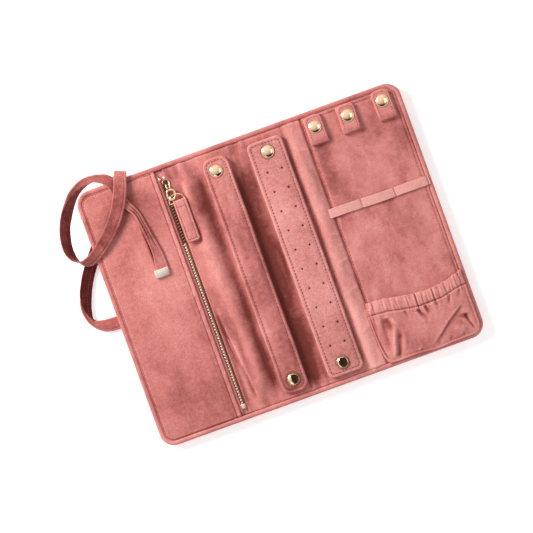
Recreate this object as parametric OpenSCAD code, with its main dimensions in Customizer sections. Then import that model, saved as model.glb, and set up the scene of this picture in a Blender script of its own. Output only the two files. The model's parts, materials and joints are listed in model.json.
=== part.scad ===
// Travel jewelry case, laid open flat with its inside facing up.
// Three panels fold over each other; a ribbon tie is sewn to the left edge.
// Millimetres. X to the right, Y to the top edge, Z up out of the lining,
// with the origin in the middle of the underside.

/* [Case] */
// Width of the opened case
case_w = 274.8; // [274:0.2:280]
// Height of the opened case
case_h = 216; // [216:0.5:222]
// Radius of the outer corners
corner_r = 12; // [9:0.5:16]
// Thickness of the outer cover
cover_t = 1.2; // [0.8:0.1:1.25]
// Width of the rolled edge
roll_w = 4.6; // [4:0.1:4.8]
// Height of the rolled edge above the ground
roll_top = 5.5; // [5:0.1:5.5]

/* [Folds] */
// Where the left panel folds
left_fold_x = -50; // [-50.2:0.1:-49.5]
// Where the right panel folds
right_fold_x = 44.8; // [44.4:0.1:45.2]
// Half of the slit between two folding panels
fold_slit = 0.4; // [0.3:0.05:0.6]

/* [Straps] */
// Width of the ring strap
ring_w = 21.9; // [20:0.1:23]
// Width of the earring strap
earring_w = 29.9; // [28:0.1:31]
// Length of both straps
strap_len = 198.6; // [196:0.2:200]
// Corner radius of the ring strap
ring_r = 7.6; // [5:0.1:9]
// Corner radius of the earring strap
earring_r = 5.2; // [4:0.1:8]
// Diameter of the earring holes
post_hole_d = 1.6; // [1.2:0.1:2.2]
// Number of rows of earring holes
hole_rows = 10; // [6:1:10]
// Distance between two rows of earring holes
hole_pitch = 16.32; // [14:0.02:16.4]

/* [Snaps] */
// Diameter of the domed snap caps
cap_d = 10.4; // [9:0.1:10.8]

/* [Zip] */
// Distance between two teeth on the same tape
tooth_pitch = 2.4; // [2.4:0.1:3]
// Length of the puller tab
pull_len = 32.6; // [26:0.2:34]
// Width of the puller tab
pull_w = 11.2; // [10:0.1:11.4]

/* [Right panel] */
// Width of a necklace tab
tab_w = 14.6; // [12:0.1:15.5]
// Width of the elastic band
band_w = 7.6; // [6:0.1:8.4]
// Height of the gathered pocket
pocket_h = 50; // [40:0.5:50.5]

/* [Tie] */
// Width of the ribbon
ribbon_w = 9.6; // [8:0.1:10.4]

/* [Hidden] */
$fn = 72;

rose = [0.80, 0.48, 0.46];
rose_light = [0.88, 0.57, 0.54];
rose_dark = [0.66, 0.36, 0.36];
gold = [0.86, 0.68, 0.42];

lap = 0.1;                       // clearance between stacked layers
seat_gap = 0.05;                 // clearance under a part that sits on a face
far = 200;                       // beyond every edge of the case
lining_top = 5.0;
lining_seat = lining_top + seat_gap;
board_z = cover_t + lap;
board_inset = roll_w + 0.2;
lining_inset = roll_w + 0.1;

// ---------- shared shapes ----------
module rounded_rect(width, height, radius) {
    square([width - 2 * radius, height], center = true);
    square([width, height - 2 * radius], center = true);
    for (sx = [-1, 1], sy = [-1, 1])
        translate([sx * (width / 2 - radius), sy * (height / 2 - radius)]) circle(radius);
}
module slab(z0, z1) { translate([0, 0, z0]) linear_extrude(z1 - z0) children(); }
module box_at(corner, size) { translate(corner) cube(size); }
module x_band(x0, x1) { translate([x0, -far]) square([x1 - x0, 2 * far]); }

// layer of a panel from x0 to x1, set in from the outline of the case
module sheet(inset, x0, x1, z0, z1) {
    slab(z0, z1) intersection() {
        rounded_rect(case_w - 2 * inset, case_h - 2 * inset, max(corner_r - inset, 2));
        x_band(x0, x1);
    }
}
module edge_roll(x0, x1) {
    slab(board_z, roll_top) intersection() {
        difference() {
            rounded_rect(case_w, case_h, corner_r);
            rounded_rect(case_w - 2 * roll_w, case_h - 2 * roll_w, corner_r - roll_w);
        }
        x_band(x0, x1);
    }
}

// ---------- centre panel ----------
center_x0 = left_fold_x + fold_slit;
center_x1 = right_fold_x - fold_slit;
center_board_x = [-33, 36];
center_board_top = 2.9;
padding_top = 4.0;
padding_side_gap = 1;
module center_cover() { color(rose_dark) sheet(0, center_x0, center_x1, 0, cover_t); }
module center_board() {
    color("dimgray")
        sheet(board_inset, center_board_x[0], center_board_x[1], board_z, center_board_top);
}
module center_padding() {
    color("whitesmoke") sheet(board_inset, center_x0 + padding_side_gap,
        center_x1 - padding_side_gap, center_board_top + lap, padding_top);
}
module center_lining() {
    color(rose) sheet(lining_inset, center_x0, center_x1, padding_top + lap, lining_top);
}
module center_edge_roll() { color(rose_dark) edge_roll(center_x0, center_x1); }

// ---------- snaps ----------
rivet_r = 1.1;
cap_rim_t = 0.35;
dome_h = 1.2;
dome_r = (cap_d * cap_d / 4 + dome_h * dome_h) / (2 * dome_h);   // sphere through the rim
socket_bore_r = 2.1;

// domed cap with its rivet; z is the face it sits on
module snap_cap(place, z, rivet_len) {
    translate([place[0], place[1], z]) {
        cylinder(d = cap_d, h = cap_rim_t);
        rotate_extrude() intersection() {
            translate([0, cap_rim_t + dome_h - dome_r]) circle(dome_r, $fn = 360);
            translate([0, cap_rim_t - 0.05]) square([cap_d / 2, 2]);
        }
        translate([0, 0, -rivet_len]) cylinder(r = rivet_r, h = rivet_len + 0.2);
    }
}
module snap_socket(place, z0, z1, radius) {
    translate([place[0], place[1], z0]) difference() {
        cylinder(r = radius, h = z1 - z0);
        translate([0, 0, -1]) cylinder(r = socket_bore_r, h = z1 - z0 + 2);
    }
}
module snap_stud(place, z0, z1, flange_r, flange_t, post_r) {
    translate([place[0], place[1], z0]) {
        cylinder(r = flange_r, h = flange_t);
        cylinder(r = post_r, h = z1 - z0);
    }
}
// hole for the socket up to step_z, and for the rivet above it
module snap_hole(place, z0, step_z, socket_r) {
    translate([place[0], place[1], z0]) {
        cylinder(r = socket_r + lap, h = step_z - z0);
        cylinder(r = rivet_r + lap, h = 6);
    }
}

// ---------- straps ----------
// Each strap is a long piece snapped at the top edge and, below the fold,
// a short anchor snapped at the bottom edge.
ring_x = -21.65;
earring_x = 20.75;
strap_y = -0.85;                 // middle of the straps
strap_fold_y = -83.4;
strap_fold_gap = 0.4;            // on each side of the fold
strap_bottom = 5.8;
strap_back_top = 6.5;
strap_cavity_top = 8.3;
strap_top = 9.2;
strap_wall = 2.0;                // around the cavity in the front layer
core_inset = 2.2;
ring_snap_top = [-22.8, 87.4];
ring_snap_bottom = [-21.2, -89.8];
earring_snap_top = [21.2, 88.0];
earring_snap_bottom = [20.4, -90.4];
anchor_snaps = [ring_snap_bottom, earring_snap_bottom];
strap_socket_r = 3.6;
strap_socket_top = 7.6;
hole_columns_x = [15.4, 27.5];
hole_top_y = 72.2;

module strap_cap(place) { snap_cap(place, strap_top + seat_gap, 1.5); }
module strap_socket(place) { snap_socket(place, 5.65, strap_socket_top, strap_socket_r); }
module strap_snap_hole(place) {
    snap_hole(place, 5, strap_socket_top + lap, strap_socket_r);
}
module strap_outline(mid_x, width, radius, inset) {
    translate([mid_x, strap_y])
        rounded_rect(width - 2 * inset, strap_len - 2 * inset, max(radius - inset, 1.5));
}
// layer of the long piece, set in from its sides, its top end and the fold
module strap_layer(mid_x, width, radius, inset, z0, z1) {
    slab(z0, z1) intersection() {
        strap_outline(mid_x, width, radius, inset);
        translate([mid_x - 50, strap_fold_y + strap_fold_gap + inset]) square([100, 400]);
    }
}
module strap_anchor(mid_x, width, radius, snap) {
    difference() {
        slab(strap_bottom, strap_top) intersection() {
            strap_outline(mid_x, width, radius, 0);
            translate([mid_x - 50, -far]) square([100, far + strap_fold_y - strap_fold_gap]);
        }
        strap_snap_hole(snap);
    }
}
// front layer, hollow from below to take the core
module strap_front(mid_x, width, radius, snap) {
    difference() {
        strap_layer(mid_x, width, radius, 0, strap_back_top + lap, strap_top);
        strap_layer(mid_x, width, radius, strap_wall, strap_back_top, strap_cavity_top);
        strap_snap_hole(snap);
    }
}
module strap_core(mid_x, width, radius, snap) {
    difference() {
        strap_layer(mid_x, width, radius, core_inset, strap_back_top + lap,
            strap_cavity_top - lap);
        strap_snap_hole(snap);
    }
}
module strap_back(mid_x, width, radius, snap) {
    difference() {
        strap_layer(mid_x, width, radius, 0, strap_bottom, strap_back_top);
        strap_snap_hole(snap);
    }
}
module post_holes() {
    for (row = [0 : hole_rows - 1], x = hole_columns_x)
        translate([x, hole_top_y - hole_pitch * row, 5]) cylinder(d = post_hole_d, h = 6);
}

module ring_strap_anchor() {
    color(rose) strap_anchor(ring_x, ring_w, ring_r, ring_snap_bottom);
}
module earring_strap_anchor() {
    color(rose_light) strap_anchor(earring_x, earring_w, earring_r, earring_snap_bottom);
}
module anchor_snap_caps() { color(gold) for (place = anchor_snaps) strap_cap(place); }
module anchor_snap_sockets() { color(gold) for (place = anchor_snaps) strap_socket(place); }
module strap_snap_studs() {
    color(gold) for (place = concat(anchor_snaps, [ring_snap_top, earring_snap_top]))
        snap_stud(place, lining_seat, 7.4, flange_r = 4.2, flange_t = 0.5, post_r = 1.9);
}
module ring_strap_cover() { color(rose) strap_front(ring_x, ring_w, ring_r, ring_snap_top); }
module ring_strap_core() {
    color("whitesmoke") strap_core(ring_x, ring_w, ring_r, ring_snap_top);
}
module ring_strap_back() { color(rose_dark) strap_back(ring_x, ring_w, ring_r, ring_snap_top); }
module ring_strap_snap_cap() { color(gold) strap_cap(ring_snap_top); }
module ring_strap_snap_socket() { color(gold) strap_socket(ring_snap_top); }
module earring_strap_front() {
    color(rose_light) difference() {
        strap_front(earring_x, earring_w, earring_r, earring_snap_top);
        post_holes();
    }
}
module earring_strap_stiffener() {
    color("whitesmoke") difference() {
        strap_core(earring_x, earring_w, earring_r, earring_snap_top);
        post_holes();
    }
}
module earring_strap_back() {
    color(rose_dark) difference() {
        strap_back(earring_x, earring_w, earring_r, earring_snap_top);
        post_holes();
    }
}
module earring_strap_snap_cap() { color(gold) strap_cap(earring_snap_top); }
module earring_strap_snap_socket() { color(gold) strap_socket(earring_snap_top); }

// ---------- left panel with the zip pocket ----------
left_x1 = left_fold_x - fold_slit;
left_board_x1 = -56;
left_board_top = 2.1;
flap_hem_x = -70.2;              // free edge of the pocket flap
spine_hem_x = -62.2;             // edge of the spine lining beside the zip
hem_z = 4.7;                     // underside of the flap and the spine lining
module left_cover() { color(rose_dark) sheet(0, -far, left_x1, 0, cover_t); }
module left_board() {
    color("dimgray") sheet(board_inset, -far, left_board_x1, board_z, left_board_top);
}
module zip_pocket_back() {
    color(rose_light) sheet(board_inset, -far, left_board_x1, left_board_top + lap, 2.7);
}
module zip_pocket_flap() { color(rose) sheet(lining_inset, -far, flap_hem_x, hem_z, 5.7); }
module left_edge_roll() { color(rose_dark) edge_roll(-far, left_x1); }
module left_spine_lining() { color(rose) sheet(lining_inset, spine_hem_x, left_x1, hem_z, 5.4); }

// ---------- zip ----------
zip_x = -65.9;                   // middle of the chain
zip_top = 85.6;
zip_bottom = -94.4;
chain_z = 3.6;                   // underside of the teeth and stops
stop_t = 1.7;
tooth_count = floor((zip_top - zip_bottom) / tooth_pitch);
tape_offset = 2.2;               // from the middle of the chain to each tape
tape_left_w = 9.9;
tape_right_w = 8.7;

module zip_tape(x, width) {
    color(rose_dark) box_at([x, -100.8, 4.1], [width, 200.8, 0.4]);
}
module zip_tape_left() { zip_tape(zip_x - tape_offset - tape_left_w, tape_left_w); }
module zip_tape_right() { zip_tape(zip_x + tape_offset, tape_right_w); }
// one side of the chain: a cord beside the tape with a row of teeth;
// side is -1 for the left and 1 for the right, shift moves the teeth down
module tooth_row(side, shift) {
    translate([zip_x, 0, chain_z]) mirror([side > 0 ? 0 : 1, 0, 0]) {
        box_at([1.35, zip_bottom, 0.35], [0.7, zip_top - zip_bottom, 0.9]);
        for (k = [0 : tooth_count - 1])
            box_at([-0.5, zip_top - 1.2 - shift - tooth_pitch * k, 0], [2.0, 1.0, 1.6]);
    }
}
module zip_teeth_left() { color(gold) tooth_row(-1, 0); }
module zip_teeth_right() { color(gold) tooth_row(1, tooth_pitch / 2); }
module zip_top_stops() {
    stop_w = 1.6;
    color(gold) for (side = [-1, 1])
        box_at([zip_x + side * 1.4 - stop_w / 2, 95.6, chain_z], [stop_w, 2.2, stop_t]);
}
module zip_bottom_stop() {
    stop_w = 4.0;
    color(gold) box_at([zip_x - stop_w / 2, -98.6, chain_z], [stop_w, 3.8, stop_t]);
}

// ---------- slider and puller ----------
// Three crossbars along x join the chain of slider, link, ring and tab.
pull_z = 7.9;                    // height of the crossbars
lug_bar_y = 85.9;                // slider to link
ring_bar_y = 80.9;               // link to ring
tab_bar_y = 74.8;                // ring to tab
slider_x = -69.0;
slider_y = 86.2;
slider_w = 6.6;
slider_len = 8.2;
slider_z = 5.4;
slider_t = 1.1;
slider_wall = 0.7;
link_x = -63.0;                  // middle of the link
link_t = 2.0;
ring_x0 = -67.9;
ring_x1 = -54.6;
ring_wire_r = 0.5;
ring_clear_r = 0.65;

module crossbar(x, y, radius, length) {
    translate([x, y, pull_z]) rotate([0, 90, 0]) cylinder(r = radius, h = length);
}
module zip_slider() {
    color(gold) difference() {
        union() {
            box_at([slider_x, slider_y, slider_z], [slider_w, slider_len, slider_t]);
            // nose
            box_at([-65.9, 83.6, slider_z], [3.0, 3.0, slider_t]);
            for (x = [slider_x, slider_x + slider_w - slider_wall])
                box_at([x, slider_y, 4.65], [slider_wall, slider_len, 0.9]);
            // lug
            box_at([-65.2, 84.2, 6.4], [1.6, 4.4, 3.2]);
        }
        crossbar(-70, lug_bar_y, 1.0, 10);
    }
}
// U-shaped link, open to the top, closed by its bar through the lug
module zip_pull_link() {
    color(gold) difference() {
        union() {
            translate([link_x, 81.95, pull_z - link_t / 2]) linear_extrude(link_t) difference() {
                rounded_rect(8.2, 9.5, 2.8);
                translate([0, 1.6]) rounded_rect(5.0, 11.5, 2.2);
            }
            crossbar(link_x - 3.3, lug_bar_y, 0.8, 6.6);
        }
        crossbar(link_x - 10, ring_bar_y, ring_clear_r, 20);
    }
}
module zip_pull_ring() {
    bars_y = [ring_bar_y, tab_bar_y];
    color(gold) {
        for (y = bars_y) crossbar(ring_x0, y, ring_wire_r, ring_x1 - ring_x0);
        for (x = [ring_x0, ring_x1]) {
            translate([x, ring_bar_y, pull_z]) rotate([90, 0, 0])
                cylinder(r = ring_wire_r, h = ring_bar_y - tab_bar_y);
            for (y = bars_y) translate([x, y, pull_z]) sphere(r = ring_wire_r);
        }
    }
}
module zip_pull_tab() {
    tab_z = 6.7;
    color(rose) difference() {
        union() {
            box_at([-63.4, 73.0, tab_z], [7.8, 3.0, 2.4]);
            translate([-58.2, 73.4 - pull_len / 2, tab_z]) linear_extrude(2.2)
                rounded_rect(pull_w, pull_len, 2.4);
        }
        crossbar(-70, tab_bar_y, ring_clear_r, 20);
    }
}

// ---------- right panel ----------
right_x0 = right_fold_x + fold_slit;
module right_cover() { color(rose_dark) sheet(0, right_x0, far, 0, cover_t); }
module right_board() { color("dimgray") sheet(board_inset, 54, far, board_z, 3.4); }
module right_lining() { color(rose) sheet(lining_inset, right_x0, far, 3.6, lining_top); }
module right_edge_roll() { color(rose_dark) edge_roll(right_x0, far); }

band_y = 23.9;                   // middle of the elastic band
band_z = 5.6;
band_t = 0.8;
tacks_x = [50.0, 77.4, 105.5, 131.4];
tack_w = 1.2;
tack_overhang = 0.9;             // past each edge of the band
tack_leg = 0.8;
module elastic_band() {
    color(rose_light) box_at([47.4, band_y - band_w / 2, band_z], [85.2, band_w, band_t]);
}
// a bar over the band with a leg down to the lining on each side
module band_bar_tacks() {
    reach = band_w / 2 + tack_overhang;
    color("indianred") for (x = tacks_x) {
        box_at([x - tack_w / 2, band_y - reach, band_z + band_t + seat_gap],
            [tack_w, 2 * reach, 0.4]);
        for (side = [-1, 1])
            box_at([x - tack_w / 2, band_y + side * (reach - tack_leg / 2) - tack_leg / 2,
                lining_seat], [tack_w, tack_leg, 1.5]);
    }
}

pocket_x = 93;                   // middle of the pocket
pocket_top = -53;
pocket_w = 79;
pocket_wall = 2;
casing_h = 10.5;                 // band along the top that holds the elastic
channel_drop = 8.5;              // from the pocket top to the channel's lower side
channel_z = 3.8;                 // above the pocket's underside
channel_h = 6.6;
elastic_len = 78;
elastic_gap = 0.3;
// hollow of the pocket, from its bottom wall to y_past_top beyond its top edge
module pocket_room(y_past_top, depth) {
    y0 = pocket_wall - pocket_h / 2;
    y1 = pocket_h / 2 + y_past_top;
    translate([0, (y0 + y1) / 2, 0.3]) linear_extrude(depth)
        rounded_rect(pocket_w - 2 * pocket_wall, y1 - y0, 5.4);
}
module gathered_pocket() {
    color(rose) translate([pocket_x, pocket_top - pocket_h / 2, lining_seat]) difference() {
        union() {
            linear_extrude(5.1) rounded_rect(pocket_w, pocket_h, 7);
            box_at([-pocket_w / 2, pocket_h / 2 - casing_h, 0], [pocket_w, casing_h, 5.15]);
        }
        // shallow room open at the top, and a deeper one below the casing
        pocket_room(7, 3.15);
        pocket_room(-casing_h - 0.5, 4.3);
        box_at([-50, pocket_h / 2 - channel_drop, channel_z], [100, channel_h, 0.9]);
    }
}
module pocket_elastic() {
    color("white") box_at([pocket_x - elastic_len / 2, pocket_top - channel_drop + elastic_gap,
        lining_seat + channel_z + lap], [elastic_len, channel_h - 2 * elastic_gap, 0.7]);
}

// ---------- necklace tabs ----------
// middle x, snap y, top y
tabs = [[63.3, 93.7, 103.7], [90.4, 93.5, 103.0], [121.2, 95.2, 104.4]];
tab_fold_y = 79.8;
tab_corner_r = 4;
tab_z = 6.75;
tab_t = 1.85;
tab_socket_r = 3.4;
tab_socket_top = 8.1;
// square at the fold, rounded at the top
module tab_outline(x, y0, y1, width) {
    translate([x - width / 2, y0]) square([width, y1 - y0 - tab_corner_r]);
    translate([x - width / 2 + tab_corner_r, y0]) square([width - 2 * tab_corner_r, y1 - y0]);
    for (side = [-1, 1])
        translate([x + side * (width / 2 - tab_corner_r), y1 - tab_corner_r])
            circle(tab_corner_r);
}
module necklace_tab_bases() {
    color(rose_dark) for (tab = tabs)
        translate([0, 0, lining_seat]) linear_extrude(1.0)
            tab_outline(tab[0], tab_fold_y - 0.3, 103.0, tab_w - 0.8);
}
module necklace_tab_studs() {
    color(gold) for (tab = tabs)
        snap_stud(tab, 6.1, 7.8, flange_r = 3.8, flange_t = 0.4, post_r = 1.7);
}
module tab_flap(tab) {
    color(rose) difference() {
        translate([0, 0, tab_z]) linear_extrude(tab_t)
            tab_outline(tab[0], tab_fold_y + 0.5, tab[2], tab_w);
        snap_hole(tab, 6, tab_socket_top + seat_gap, tab_socket_r);
    }
}
module tab_cap(tab) { color(gold) snap_cap(tab, tab_z + tab_t + seat_gap, 0.45); }
module tab_socket(tab) { color(gold) snap_socket(tab, 6.6, tab_socket_top, tab_socket_r); }
module necklace_tab_1() { tab_flap(tabs[0]); }
module necklace_tab_2() { tab_flap(tabs[1]); }
module necklace_tab_3() { tab_flap(tabs[2]); }
module tab_snap_cap_1() { tab_cap(tabs[0]); }
module tab_snap_cap_2() { tab_cap(tabs[1]); }
module tab_snap_cap_3() { tab_cap(tabs[2]); }
module tab_snap_socket_1() { tab_socket(tabs[0]); }
module tab_snap_socket_2() { tab_socket(tabs[1]); }
module tab_snap_socket_3() { tab_socket(tabs[2]); }

// ---------- ribbon tie ----------
// Paths are [x, y] points along the middle of the ribbon.
// from its seam behind the left edge, out and round, then behind the panel to the top edge
root_path = [[-131, 0.8], [-145.4, 1.8], [-155.4, 6.4], [-159.6, 14.4], [-157.6, 24], [-151, 36],
    [-143.4, 48.8], [-137.4, 59], [-127.8, 73.4], [-115, 91], [-103, 106], [-97.5, 112.8]];
// where the upper and lower runs of the loop overlap
loop_join = [[-146.7, 99.2], [-138.5, 108.2]];
// over the panel, out past the left edge and back up to the top edge
loop_high = concat([[-96.6, 112.4], [-99, 102.4], [-105.4, 89.2], [-115, 75.2], [-124.6, 64.8],
    [-134.5, 58], [-144.4, 57], [-152, 62], [-155.2, 71.6], [-153.4, 85.2]], loop_join);
loop_low = concat(loop_join, [[-129.4, 113], [-120.6, 114], [-112.8, 111.2],
    [-107.6, 103.6], [-103.2, 94.8], [-99.4, 87.6]]);
tail_path = [[-98.6, 85.4], [-94.6, 77], [-91.9, 67.2], [-90.7, 52.8], [-90.2, 36.8], [-90.6, 25]];
loop_z = 5.8;
loop_top = 8.9;
root_z = -1.6;

// Catmull-Rom point between start and end, t from 0 to 1
function spline_point(before, start, end, after, t) =
    0.5 * (2 * start + (end - before) * t + (2 * before - 5 * start + 4 * end - after) * t * t
        + (3 * start - before - 3 * end + after) * t * t * t);
function smooth(path, steps) = let (last = len(path) - 1)
    [for (i = [0 : last - 1], k = [0 : steps - 1])
        spline_point(path[max(i - 1, 0)], path[i], path[i + 1], path[min(i + 2, last)], k / steps),
    path[last]];
// unit vector across the line at point i
function across(line, i) =
    let (along = line[min(i + 1, len(line) - 1)] - line[max(i - 1, 0)])
    [-along[1], along[0]] / norm(along);
module ribbon(path, z0, z1) {
    line = smooth(path, 4);
    last = len(line) - 1;
    slab(z0, z1) polygon(concat(
        [for (i = [0 : last]) line[i] + across(line, i) * ribbon_w / 2],
        [for (i = [last : -1 : 0]) line[i] - across(line, i) * ribbon_w / 2]));
}
module tie_ribbon_root() {
    color(rose) {
        ribbon(root_path, root_z, -0.2);
        // upright piece past the top edge
        box_at([-101.5, 109.0, root_z], [9, 1.6, 7.6]);
    }
}
module tie_ribbon_loop() {
    color(rose) {
        ribbon(loop_high, 7.5, loop_top);
        ribbon(loop_join, loop_z, loop_top);
        ribbon(loop_low, loop_z, 7.2);
    }
}
module tie_ribbon_tail() { color(rose) ribbon(tail_path, 6.3, 7.5); }
// folded clip, open to the top edge, over the end of the tail
module tie_end_clip() {
    color(gold) translate([-96.8, 22.7, 5.8]) difference() {
        cube([11.8, 6.5, 2.2]);
        box_at([-1, 1.2, 0.45], [14, 6, 1.3]);
    }
}

center_cover();
center_board();
center_padding();
center_lining();
center_edge_roll();
ring_strap_anchor();
earring_strap_anchor();
anchor_snap_caps();
anchor_snap_sockets();
strap_snap_studs();
ring_strap_cover();
ring_strap_core();
ring_strap_back();
ring_strap_snap_cap();
ring_strap_snap_socket();
earring_strap_front();
earring_strap_stiffener();
earring_strap_back();
earring_strap_snap_cap();
earring_strap_snap_socket();
left_cover();
left_board();
zip_pocket_back();
zip_pocket_flap();
left_edge_roll();
left_spine_lining();
zip_tape_left();
zip_tape_right();
zip_teeth_left();
zip_teeth_right();
zip_top_stops();
zip_bottom_stop();
zip_slider();
zip_pull_link();
zip_pull_ring();
zip_pull_tab();
right_cover();
right_board();
right_lining();
right_edge_roll();
elastic_band();
band_bar_tacks();
gathered_pocket();
pocket_elastic();
necklace_tab_bases();
necklace_tab_studs();
necklace_tab_1();
necklace_tab_2();
necklace_tab_3();
tab_snap_cap_1();
tab_snap_cap_2();
tab_snap_cap_3();
tab_snap_socket_1();
tab_snap_socket_2();
tab_snap_socket_3();
tie_ribbon_root();
tie_ribbon_loop();
tie_ribbon_tail();
tie_end_clip();
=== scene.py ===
# A folding velvet jewellery case, lying open with its inside up.
# X runs across the three panels: zip pocket panel on the left (-X), middle panel with two
# straps, right panel (+X) with tabs, elastic band and gathered pocket. Y runs along the
# folds, towards the top (+Y), and Z is up. A ribbon tie lies over the left panel's edge.
# Shapes are worked out in mm and turned into metres when a mesh is made.
import json
import math
import random

import bmesh
import bpy
import numpy as np
from mathutils import Matrix, Vector

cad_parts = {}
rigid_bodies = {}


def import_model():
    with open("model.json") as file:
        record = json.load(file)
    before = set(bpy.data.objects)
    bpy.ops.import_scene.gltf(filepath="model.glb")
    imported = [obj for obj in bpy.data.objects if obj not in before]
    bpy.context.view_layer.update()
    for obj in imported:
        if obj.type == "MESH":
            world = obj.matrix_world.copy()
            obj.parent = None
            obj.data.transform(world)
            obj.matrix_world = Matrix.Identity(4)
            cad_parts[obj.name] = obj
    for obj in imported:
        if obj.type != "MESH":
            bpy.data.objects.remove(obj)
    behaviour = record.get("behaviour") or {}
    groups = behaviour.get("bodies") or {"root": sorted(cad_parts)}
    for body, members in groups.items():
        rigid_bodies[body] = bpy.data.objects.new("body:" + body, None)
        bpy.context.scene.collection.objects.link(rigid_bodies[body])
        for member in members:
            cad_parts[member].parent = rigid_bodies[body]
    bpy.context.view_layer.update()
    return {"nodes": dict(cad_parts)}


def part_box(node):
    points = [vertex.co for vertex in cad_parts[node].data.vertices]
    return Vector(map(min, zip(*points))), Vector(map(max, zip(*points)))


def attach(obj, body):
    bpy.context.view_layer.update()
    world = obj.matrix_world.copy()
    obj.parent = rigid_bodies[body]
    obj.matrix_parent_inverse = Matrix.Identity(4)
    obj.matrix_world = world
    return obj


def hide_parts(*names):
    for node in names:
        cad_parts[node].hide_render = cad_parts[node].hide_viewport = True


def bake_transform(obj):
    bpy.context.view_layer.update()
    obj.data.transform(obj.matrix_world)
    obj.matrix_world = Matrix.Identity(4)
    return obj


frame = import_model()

MM = 0.001


# ------------------------------------------------------------------ dimensions, mm
def node_box(node):
    """Lower and upper corner of a CAD piece."""
    low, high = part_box(node)
    return np.array(low) / MM, np.array(high) / MM


LEFT, BOTTOM = node_box("left_cover")[0][:2]
RIGHT, TOP = node_box("right_cover")[1][:2]
CASE = (LEFT, RIGHT, BOTTOM, TOP)       # rectangles are (x0, x1, y0, y1) throughout
CORNER = 12.0                           # outer corner radius
ROLL = 4.1                              # width of the rolled edge
LINING_TOP = node_box("center_lining")[1][2]
LINING_BOTTOM = 4.03
MEET_X = 20.75                          # the two linings meet under the earring strap
HEM_X = node_box("zip_pocket_flap")[1][0]
ZIP_X = 0.5 * (node_box("zip_teeth_left")[0][0] + node_box("zip_teeth_right")[1][0])


# ------------------------------------------------------------------ shaping functions
def smoothstep(t):
    t = np.clip(t, 0, 1)
    return t * t * (3 - 2 * t)


def rise(value, start, width):
    """Climbs smoothly from 0 at start to 1 at start + width."""
    return smoothstep((value - start) / width)


def fall(value, end, width):
    """Drops smoothly from 1 at end - width to 0 at end."""
    return smoothstep((end - value) / width)


def bump(value, centre, width):
    """A smooth bump of half width `width`."""
    return np.exp(-((value - centre) / width) ** 2)


def decay(distance, width):
    """1 up to distance 0, then fading away over about `width`."""
    return np.exp(-np.clip(distance, 0, None) / width)


def spots(x, y, table):
    """Sum of soft oval spots, each (amount, x, y, radius along x, radius along y)."""
    return sum(amount * bump(x, cx, rx) * bump(y, cy, ry) for amount, cx, cy, rx, ry in table)


def edge_drop(distance, radius, height):
    """How far a rounded edge has dropped at a distance in from the edge."""
    t = np.clip(1 - distance / radius, 0, 1)
    return height * (1 - np.sqrt(np.clip(1 - t * t, 0, 1)))


class ValueNoise:
    """Smooth seeded noise between -1 and 1 on a repeating 64 x 64 grid."""

    def __init__(self, seed):
        self.grid = np.random.RandomState(seed).uniform(-1, 1, (64, 64))

    def __call__(self, x, y):
        x, y = np.broadcast_arrays(np.asarray(x, float), np.asarray(y, float))
        i, j = np.floor(x).astype(int), np.floor(y).astype(int)
        fx, fy = x - i, y - j
        fx, fy = fx * fx * (3 - 2 * fx), fy * fy * (3 - 2 * fy)
        size = len(self.grid)
        i0, i1, j0, j1 = i % size, (i + 1) % size, j % size, (j + 1) % size
        grid = self.grid
        return (grid[i0, j0] * (1 - fx) * (1 - fy) + grid[i1, j0] * fx * (1 - fy)
                + grid[i0, j1] * (1 - fx) * fy + grid[i1, j1] * fx * fy)


def layered(noise, x, y, octaves=3):
    """Noise with finer and weaker layers added."""
    total, amount = 0, 1.0
    for k in range(octaves):
        total = total + amount * noise(x * 2 ** k + 11.3 * k, y * 2 ** k - 7.7 * k)
        amount *= 0.5
    return total


NOISE_A, NOISE_B, NOISE_C = ValueNoise(3), ValueNoise(5), ValueNoise(9)


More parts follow.
